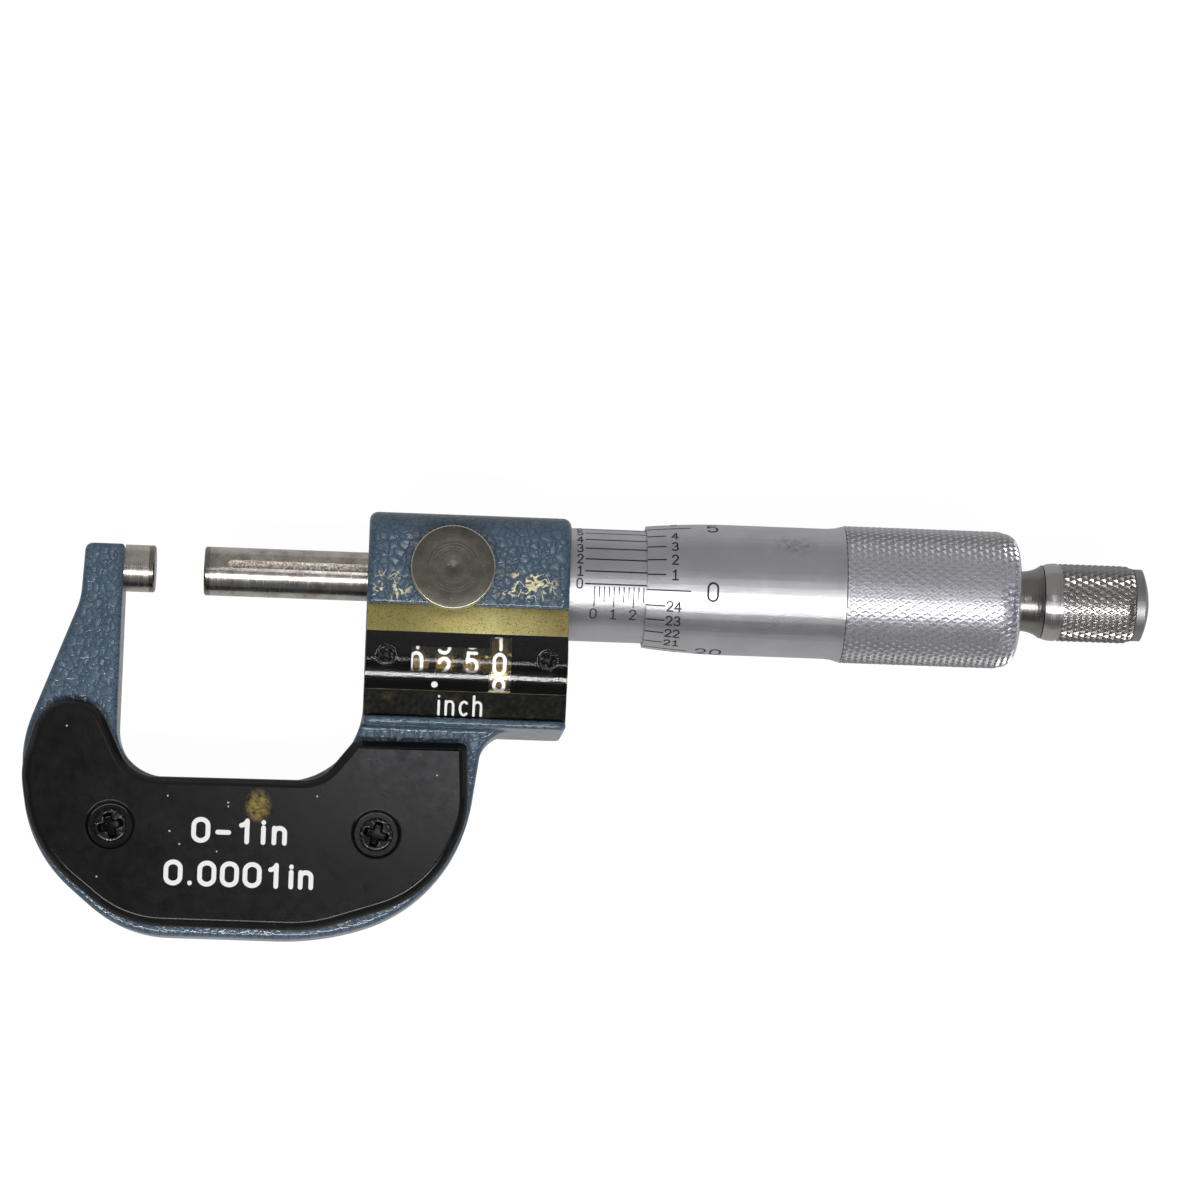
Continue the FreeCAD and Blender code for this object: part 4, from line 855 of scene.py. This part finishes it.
class BuildCounter(bpy.types.Operator):
    """Makes the counter's cover, window print and number wheels"""

    bl_idname = "micrometer.counter"
    bl_label = "Counter"

    def execute(self, context):
        s = settings()
        low, high = node_box("counter_window")
        shaft_low, shaft_high = node_box("wheel_shaft")
        axis_y, axis_z = (shaft_low.y + shaft_high.y) / 2, (shaft_low.z + shaft_high.z) / 2
        dress(["counter_cover"], worn_brass_cover(low.y))
        dress(["counter_window"], clear_acrylic())
        screw_low, screw_high = node_box("window_screws")
        radius = (screw_high.y - screw_low.y) / 2
        screw_y = (screw_low.y + screw_high.y) / 2
        places = [(screw_low.x + radius, screw_y, 0.75), (screw_high.x - radius, screw_y, 0.4)]
        screws("window_screws", "frame", places, screw_high.z, 1, radius, 0.75, WINDOW_CROSS)
        white = ink("white_figures", s.white_ink)
        self.window_print(low, high, axis_y, axis_z)
        for index in range(len(SHOWN_DIGITS)):
            self.wheel_figures(index, axis_y, axis_z, white)
        inch = Shape()
        slope_low, slope_high = Vector((node_box("counter_cover")[0].y, 8.0)), Vector((low.y, 9.6))
        slope = (slope_high - slope_low).normalized()

        def strip(u, v, h):
            """The cover's slope below the window; v runs up it."""
            place = slope_low + slope * v + Vector((-slope.y, slope.x)) * h
            return (u, place.x, place.y)

        words(inch, "inch", 37.05, 0.47, 2.6, 0.32, strip, s.print_height, gap=0.28, squeeze=0.9)
        mesh_piece("cover_words", inch, white, "frame")
        return {"FINISHED"}

    def window_print(self, low, high, axis_y, axis_z):
        """Black print on the window's inside, bare over the wheels, with a white decimal dot."""
        s = settings()
        inner = high.z - axis_z - WINDOW_THICKNESS
        film_low, film_high = inner + 0.02, inner + 0.06
        x_cuts = [low.x + 0.02, *OPENING_X, high.x - 0.02]
        y_cuts = [low.y + 0.05, *OPENING_Y, high.y - 0.05]
        shape = Shape()

        def place(x, y, radius):
            """A point under the window's curve."""
            return (x, y, axis_z + math.sqrt(radius ** 2 - (y - axis_y) ** 2))

        for column in range(4):
            for row in range(5):
                if (column, row) in OPENINGS:
                    continue
                left, right = x_cuts[column:column + 2]
                lower, upper = y_cuts[row:row + 2]
                steps = max(2, math.ceil((upper - lower) / 0.3))
                lines = [lower + (upper - lower) * k / steps for k in range(steps + 1)]
                rings = []
                for y in lines:
                    rings.append(shape.ring([place(left, y, film_low), place(right, y, film_low),
                                             place(right, y, film_high), place(left, y, film_high)]))
                for first, second in zip(rings, rings[1:]):
                    shape.bridge(second, first)
                shape.cap(rings[0], flipped=True)
                shape.cap(rings[-1])
        mesh_piece("window_print", shape, ink("black_print", "#050506", 0.5, 0.0), "frame")
        dot = Shape()
        radius = high.z - axis_z
        disc(dot, 36.5, -14.85 - axis_y, 0.42, barrel(radius, 0.0, axis_y, axis_z), FILL_HEIGHT, 24)
        mesh_piece("decimal_dot", dot, ink("white_dot", s.white_ink), "frame")

    def wheel_figures(self, index, axis_y, axis_z, white):
        """Ten white figures round one wheel; the shown one turns with the reading."""
        name = "number_wheel_" + str(index + 1)
        dress([name], blackened_brass())
        middle = FIRST_WHEEL_X + WHEEL_SPACING * index
        shape = Shape()
        for digit in range(10):
            rim = barrel(WHEEL_RADIUS, (digit - SHOWN_DIGITS[index]) * 2 * math.pi / 10, axis_y, axis_z)
            words(shape, str(digit), middle, 0.0, 2.45, 0.42, rim, 0.02, middle=True)
        mesh_piece("wheel_figures_" + str(index + 1), shape, white, name)


class BuildSleeve(bpy.types.Operator):
    """Makes the sleeve's chrome and its scales"""

    bl_idname = "micrometer.sleeve"
    bl_label = "Sleeve scales"

    def execute(self, context):
        s = settings()
        dress(["outer_sleeve"], satin_chrome())
        radius = node_box("outer_sleeve")[1].y
        surface = barrel(radius, SLEEVE_ZERO_ANGLE)
        lines = Shape()
        end = SLEEVE_ZERO_X + PER_INCH + 0.6
        # the vernier's ten parts are as long as nine of the thimble's
        for k in range(11):
            v = radius * 0.9 * DIVISION * k
            stroke(lines, [(55.5, v), (end, v)], s.scale_line, surface, FILL_HEIGHT, longest=3.0)
            words(lines, str(k % 10), 54.75, v, 1.25, 0.19, surface, FILL_HEIGHT, middle=True, footed=True)
        for k in range(41):
            x = SLEEVE_ZERO_X + PER_INCH / 40 * k
            length = 2.6 if k % 4 == 0 else (1.9 if k % 2 == 0 else 1.35)
            stroke(lines, [(x, -0.35), (x, -0.35 - length)], 0.15, surface, FILL_HEIGHT)
            if k % 4 == 0 and k < 40:
                words(lines, str(k // 4), x - 0.05, -4.0, 1.4, 0.18, surface, FILL_HEIGHT,
                      middle=True, footed=True)
        mesh_piece("sleeve_scale", lines, ink("scale_fill", s.dark_line), "frame")
        return {"FINISHED"}


class BuildThimble(bpy.types.Operator):
    """Makes the thimble with its bevelled edge, scale and knurled grip"""

    bl_idname = "micrometer.thimble"
    bl_label = "Thimble"

    def execute(self, context):
        s = settings()
        low, high = node_box("thimble")
        edge, end, grip = low.x, high.x, high.y
        barrel_radius, edge_radius, bore = 8.5, 7.9, 7.5
        neck_hole, end_wall = 2.95, 7.1
        bevel_end = edge + BEVEL_LENGTH
        middle = Vector((edge + 0.42 * BEVEL_LENGTH, edge_radius + 0.72 * (barrel_radius - edge_radius)))
        circle = circle_through(Vector((edge, edge_radius)), middle, Vector((bevel_end, barrel_radius)))

        def bevel_radius(x):
            """The bevelled edge swells along an arc."""
            return circle[1] + math.sqrt(circle[2] ** 2 - (x - circle[0]) ** 2)

        steps = 16
        profile = [(edge + BEVEL_LENGTH * k / steps, bevel_radius(edge + BEVEL_LENGTH * k / steps))
                   for k in range(steps + 1)]
        knurl_start, knurl_end, corner = end - 22.8, end - 2.5, 2.0
        shoulder = grip - 0.2
        fade_end = end - 0.5

        def outline(x):
            """The grip's radius, with the rounded end."""
            if x < knurl_end:
                return grip
            if x < end - corner:
                return grip + (shoulder - grip) * (x - knurl_end) / (end - corner - knurl_end)
            return shoulder - corner + math.sqrt(max(0.0, corner ** 2 - (x - end + corner) ** 2))

        profile += [(knurl_start - 2.2, barrel_radius), (knurl_start - 1.2, barrel_radius + 0.1),
                    (knurl_start - 0.25, grip - 0.1), (knurl_start - 0.12, grip - 0.1),
                    (knurl_start, grip - s.knurl_depth)]
        shape = Shape()
        rows = round((fade_end - knurl_start) / s.knurl_length * 2)
        (first, angles), (last, end_angles) = knurl_band(
            shape, knurl_start, fade_end, outline, s.knurl_depth, s.knurl_rows, rows, 0.36)
        start_ring, ring = turned_rings(shape, profile, angles)
        shape.bridge(ring, first)
        rounding = []
        first_turn = math.asin((fade_end - end + corner) / corner)
        for k in range(7):
            a = first_turn + (math.pi / 2 - first_turn) * k / 6
            rounding.append((end - corner + corner * math.sin(a), shoulder - corner + corner * math.cos(a)))
        rounding += [(end, neck_hole), (end - end_wall, neck_hole), (end - end_wall, bore), (edge, bore)]
        out_start, out_end = turned_rings(shape, rounding, end_angles)
        shape.bridge(last, out_start)
        shape.bridge(out_end, start_ring)
        piece = mesh_piece("thimble_dressed", shape, satin_chrome(knurl_start), "spindle", 22.0)
        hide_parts("thimble")

        def surface(u, v, h):
            """v is an angle times the barrel's radius."""
            radius = bevel_radius(u) if u < bevel_end else barrel_radius
            return around_x(u, radius + h, THIMBLE_ZERO_ANGLE + v / barrel_radius)

        lines = Shape()
        for k in range(25):
            v = barrel_radius * DIVISION * k
            long_line = k % 5 == 0
            reach = 5.6 if long_line else 2.35
            stroke(lines, [(edge + 0.06, v), (edge + reach, v)], s.scale_line, surface, FILL_HEIGHT)
            if long_line:
                words(lines, str(k), edge + 8.5, v, 2.35, 0.27, surface, FILL_HEIGHT,
                      middle=True, footed=True)
            else:
                words(lines, str(k), edge + 3.55, v, 1.35, 0.21, surface, FILL_HEIGHT,
                      gap=0.2, middle=True, footed=True)
        mesh_piece("thimble_scale", lines, ink("thimble_fill", s.dark_line), "spindle")
        return {"FINISHED"}


def circle_through(a, b, c):
    """Middle x, middle y and radius of the circle through three points."""
    d = 2 * (a.x * (b.y - c.y) + b.x * (c.y - a.y) + c.x * (a.y - b.y))
    squares = [p.length_squared for p in (a, b, c)]
    x = (squares[0] * (b.y - c.y) + squares[1] * (c.y - a.y) + squares[2] * (a.y - b.y)) / d
    y = (squares[0] * (c.x - b.x) + squares[1] * (a.x - c.x) + squares[2] * (b.x - a.x)) / d
    return x, y, math.dist((x, y), a)


class BuildRatchet(bpy.types.Operator):
    """Makes the ratchet's neck, knurled knob and end screw"""

    bl_idname = "micrometer.ratchet"
    bl_label = "Ratchet knob"

    def execute(self, context):
        s = settings()
        chrome = turned_steel("polished_chrome", "#B8B6B5", 0.24, 0.34)
        dress(["ratchet_stem"], turned_steel("turned_neck", "#8F8B88", 0.22, 0.32))
        dress(["ratchet_end_screw"], turned_steel("turned_end", "#9C9B9B", 0.42, 0.52))
        low, high = node_box("ratchet_knob")
        start, end, radius = low.x, high.x, high.y
        band_end = start + 1.9
        groove_end = band_end + 0.3
        knurl_start, knurl_end = groove_end + 0.05, end - 0.1
        shaft_hole, pocket_radius, pocket_depth = 2.03, 3.95, 6.2
        taper_length, taper_drop = 1.4, 0.4
        front_length, front_drop = 1.4, 0.3

        def outline(x):
            """The knob's radius, easing in at its front and its end."""
            back = max(0.0, (x - end + taper_length) / taper_length)
            front = max(0.0, (start + front_length - x) / front_length)
            return radius - taper_drop * back ** 2 - front_drop * front ** 2

        rows = round((knurl_end - knurl_start) / s.knob_knurl_length * 2)
        shape = Shape()
        (first, angles), (last, end_angles) = knurl_band(
            shape, knurl_start, knurl_end, outline, s.knob_knurl_depth, s.knob_rows, rows, 0.24)
        profile = [(start + front_length * k / 6, outline(start + front_length * k / 6)) for k in range(7)]
        profile += [(band_end - 0.05, radius), (band_end, radius - 0.05), (band_end, radius - 0.15),
                    (groove_end, radius - 0.15), (groove_end, radius - 0.05), (knurl_start, radius - 0.05)]
        start_ring, ring = turned_rings(shape, profile, angles)
        shape.bridge(ring, first)
        closing = [(knurl_end + 0.03, outline(knurl_end)), (end, outline(end)), (end, shaft_hole),
                   (start + pocket_depth, shaft_hole), (start + pocket_depth, pocket_radius),
                   (start, pocket_radius)]
        out_start, out_end = turned_rings(shape, closing, end_angles)
        shape.bridge(last, out_start)
        shape.bridge(out_end, start_ring)
        piece = mesh_piece("ratchet_knob_dressed", shape, chrome, "ratchet", 22.0)
        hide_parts("ratchet_knob")
        return {"FINISHED"}


class BuildClamp(bpy.types.Operator):
    """Finishes the spindle clamp's knob"""

    bl_idname = "micrometer.clamp"
    bl_label = "Clamp knob"

    def execute(self, context):
        low, high = node_box("clamp_knob")
        middle = (low + high) / 2
        top, radius, count = high.z, 5.4, 120
        grooves, knurl_foot, head_foot, screw_radius = 0.07, 2.3, 2.5, 1.4
        shape = Shape()

        def ring(r, z, cut=0.0):
            """A ring round the knob; every second point lies deeper by the cut."""
            turns = [2 * math.pi * i / count for i in range(count)]
            return shape.ring([(middle.x + (r - cut * (i % 2)) * math.cos(a),
                                middle.y + (r - cut * (i % 2)) * math.sin(a), z)
                               for i, a in enumerate(turns)])

        levels = [ring(0.25, top - 0.12)]
        for r, z in ((0.5, 0.03), (2.1, 0.0), (2.2, 0.008), (2.3, 0.0), (3.3, 0.0), (3.4, 0.006), (3.5, 0.0),
                     (radius - 0.2, 0.0), (radius - 0.12, 0.03)):
            levels.append(ring(r, top - z))
        levels += [ring(radius, top - 0.14, grooves), ring(radius, top - knurl_foot, grooves),
                   ring(radius - 0.15, top - head_foot), ring(screw_radius, top - head_foot),
                   ring(screw_radius, low.z), ring(screw_radius / 2, low.z)]
        for first, second in zip(levels, levels[1:]):
            shape.bridge(second, first)
        shape.cap(levels[0])
        shape.cap(levels[-1], flipped=True)
        steel = dull_steel((middle.x, middle.y, top), radius)
        piece = mesh_piece("clamp_knob_dressed", shape, steel, "clamp", 25.0)
        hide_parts("clamp_knob")
        return {"FINISHED"}


# Camera: the photograph's place and angle, worked out in millimetres and pixels of a 1200-pixel picture

PICTURE = 1200.0
FOCAL_PIXELS = 4500.0
PIXELS_PER_MM = 7.68
CAMERA_ROLL = math.radians(1.8)
CAMERA_YAW = math.radians(2.8)
CAMERA_PITCH = math.radians(-6.5)
ORIGIN_PIXEL = (155.7, 569.04)
LEVEL_POINT = Vector((58.0, -4.0, 0.0))
SENSOR = 36.0


def camera_pose():
    """The camera's rotation and place in millimetres."""
    turn = Matrix.Rotation(-CAMERA_ROLL, 3, "Z") @ Matrix.Rotation(CAMERA_PITCH, 3, "X") @ Matrix.Rotation(
        CAMERA_YAW, 3, "Y")
    distance = FOCAL_PIXELS / PIXELS_PER_MM
    shift = Vector((0.0, 0.0, -(turn @ LEVEL_POINT).z))
    shift.x = (ORIGIN_PIXEL[0] - PICTURE / 2) / FOCAL_PIXELS * (distance - shift.z)
    shift.y = (PICTURE / 2 - ORIGIN_PIXEL[1]) / FOCAL_PIXELS * (distance - shift.z)
    place = turn.transposed() @ (Vector((0.0, 0.0, distance)) - shift)
    return turn.transposed(), place


class BuildStage(bpy.types.Operator):
    """Sets the floor, the lamps, the world and the camera"""

    bl_idname = "micrometer.stage"
    bl_label = "Stage"

    def execute(self, context):
        scene = context.scene
        scene.view_settings.view_transform = "Standard"
        self.floor(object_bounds()[0].z)
        turn, place = camera_pose()
        camera_data = bpy.data.cameras.new("camera")
        camera_data.sensor_width = SENSOR
        camera_data.lens = FOCAL_PIXELS / PICTURE * SENSOR
        camera_data.clip_start = 0.01
        camera = bpy.data.objects.new("camera", camera_data)
        camera.matrix_world = Matrix.Translation(place * MM) @ turn.to_4x4()
        scene.collection.objects.link(camera)
        scene.camera = camera
        aim = Vector((0.058, -0.01, 0.0))
        self.lamp("key", aim, (0.0, -0.305, 0.6), (0.8, 0.09), 4.0, "#FFFFFF")
        self.lamp("overhead", aim, (0.012, 0.045, 0.6), (0.14, 0.05), 0.13, "#FCFAFF")
        self.world(scene)
        return {"FINISHED"}

    def lamp(self, name, aim, offset, size, watts, colour):
        """A soft rectangular lamp that faces the aim."""
        data = bpy.data.lights.new(name, "AREA")
        data.shape = "RECTANGLE"
        data.size, data.size_y = size
        data.energy = watts
        data.color = linear(colour)[:3]
        lamp = bpy.data.objects.new(name, data)
        lamp.location = aim + Vector(offset)
        lamp.rotation_euler = Vector(offset).to_track_quat("Z", "Y").to_euler()
        bpy.context.scene.collection.objects.link(lamp)

    def floor(self, level):
        """A plain pale floor that looks white to the camera and keeps the shadow."""
        half = 4.0
        corners = [(-half, -half, level), (half, -half, level), (half, half, level), (-half, half, level)]
        mesh = bpy.data.meshes.new("floor")
        mesh.from_pydata(corners, [], [(0, 1, 2, 3)])
        floor = bpy.data.objects.new("floor", mesh)
        bpy.context.scene.collection.objects.link(floor)
        material, tree, shader, _ = new_material("pale_floor", "#E8E8E8", 0.0, 0.9)
        seen, glossy, through = (add(tree, "LightPath", {}, ray)
                                 for ray in ("Is Camera Ray", "Is Glossy Ray", "Is Transmission Ray"))
        strength = add(tree, "MapRange", {0: glossy, 1: 0.0, 2: 1.0, 3: 1.08, 4: 0.52})
        white = add(tree, "Emission", {"Color": "#FFFFFF", "Strength": strength})
        straight = add(tree, "Math", {0: seen, 1: through}, operation="MAXIMUM")
        shown = add(tree, "Math", {0: straight, 1: glossy}, operation="MAXIMUM")
        share = add(tree, "Math", {0: shown, 1: 0.9}, operation="MULTIPLY")
        both = add(tree, "MixShader", {0: share, 1: shader.outputs[0], 2: white})
        feed(tree, tree.nodes["Material Output"], {"Surface": both})
        mesh.materials.append(material)
        floor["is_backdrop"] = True

    def world(self, scene):
        """Even, dim light from all round, brighter from behind; white behind the floor's edge."""
        world = bpy.data.worlds.new("studio")
        world.use_nodes = True
        tree = world.node_tree
        direction = add(tree, "TexCoord", {}, "Generated")
        back = add(tree, "SeparateXYZ", {0: direction}, "Y")
        low_side = add(tree, "MapRange", {0: back, 1: -0.9, 2: -0.5, 3: 0.03, 4: 0.0})
        high_side = add(tree, "MapRange", {0: back, 1: 0.08, 2: 0.4, 3: 0.1, 4: 0.36})
        sky = add(tree, "Math", {0: low_side, 1: high_side}, operation="ADD")
        seen = add(tree, "LightPath", {}, "Is Camera Ray")
        strength = add(tree, "Math", {0: seen, 1: sky}, operation="MAXIMUM")
        feed(tree, tree.nodes["Background"], {"Color": "#FFFFFF", "Strength": strength})
        scene.world = world


class MicrometerPanel(bpy.types.Panel):
    """Lists the steps that dress the micrometer"""

    bl_idname = "VIEW3D_PT_micrometer"
    bl_label = "Micrometer"
    bl_space_type = "VIEW_3D"
    bl_region_type = "UI"
    bl_category = "Micrometer"

    def draw(self, context):
        """Lists the steps and then the settings."""
        for step in STEPS:
            self.layout.operator(step.bl_idname)
        for name in MicrometerSettings.__annotations__:
            self.layout.prop(context.scene.micrometer, name)


STEPS = (BuildEnamel, BuildSteel, BuildPlates, BuildCounter, BuildSleeve, BuildThimble, BuildRatchet,
         BuildClamp, BuildStage)
CLASSES = (MicrometerSettings, *STEPS, MicrometerPanel)


def register():
    """Registers the classes and the settings."""
    for item in CLASSES:
        bpy.utils.register_class(item)
    bpy.types.Scene.micrometer = bpy.props.PointerProperty(type=MicrometerSettings)


def unregister():
    """Takes the classes and the settings away again."""
    del bpy.types.Scene.micrometer
    for item in reversed(CLASSES):
        bpy.utils.unregister_class(item)


def main():
    """Builds the looks step by step."""
    register()
    bpy.ops.micrometer.enamel()
    bpy.ops.micrometer.steel()
    bpy.ops.micrometer.plates()
    bpy.ops.micrometer.counter()
    bpy.ops.micrometer.sleeve()
    bpy.ops.micrometer.thimble()
    bpy.ops.micrometer.ratchet()
    bpy.ops.micrometer.clamp()
    bpy.ops.micrometer.stage()


if __name__ == "__main__":
    main()
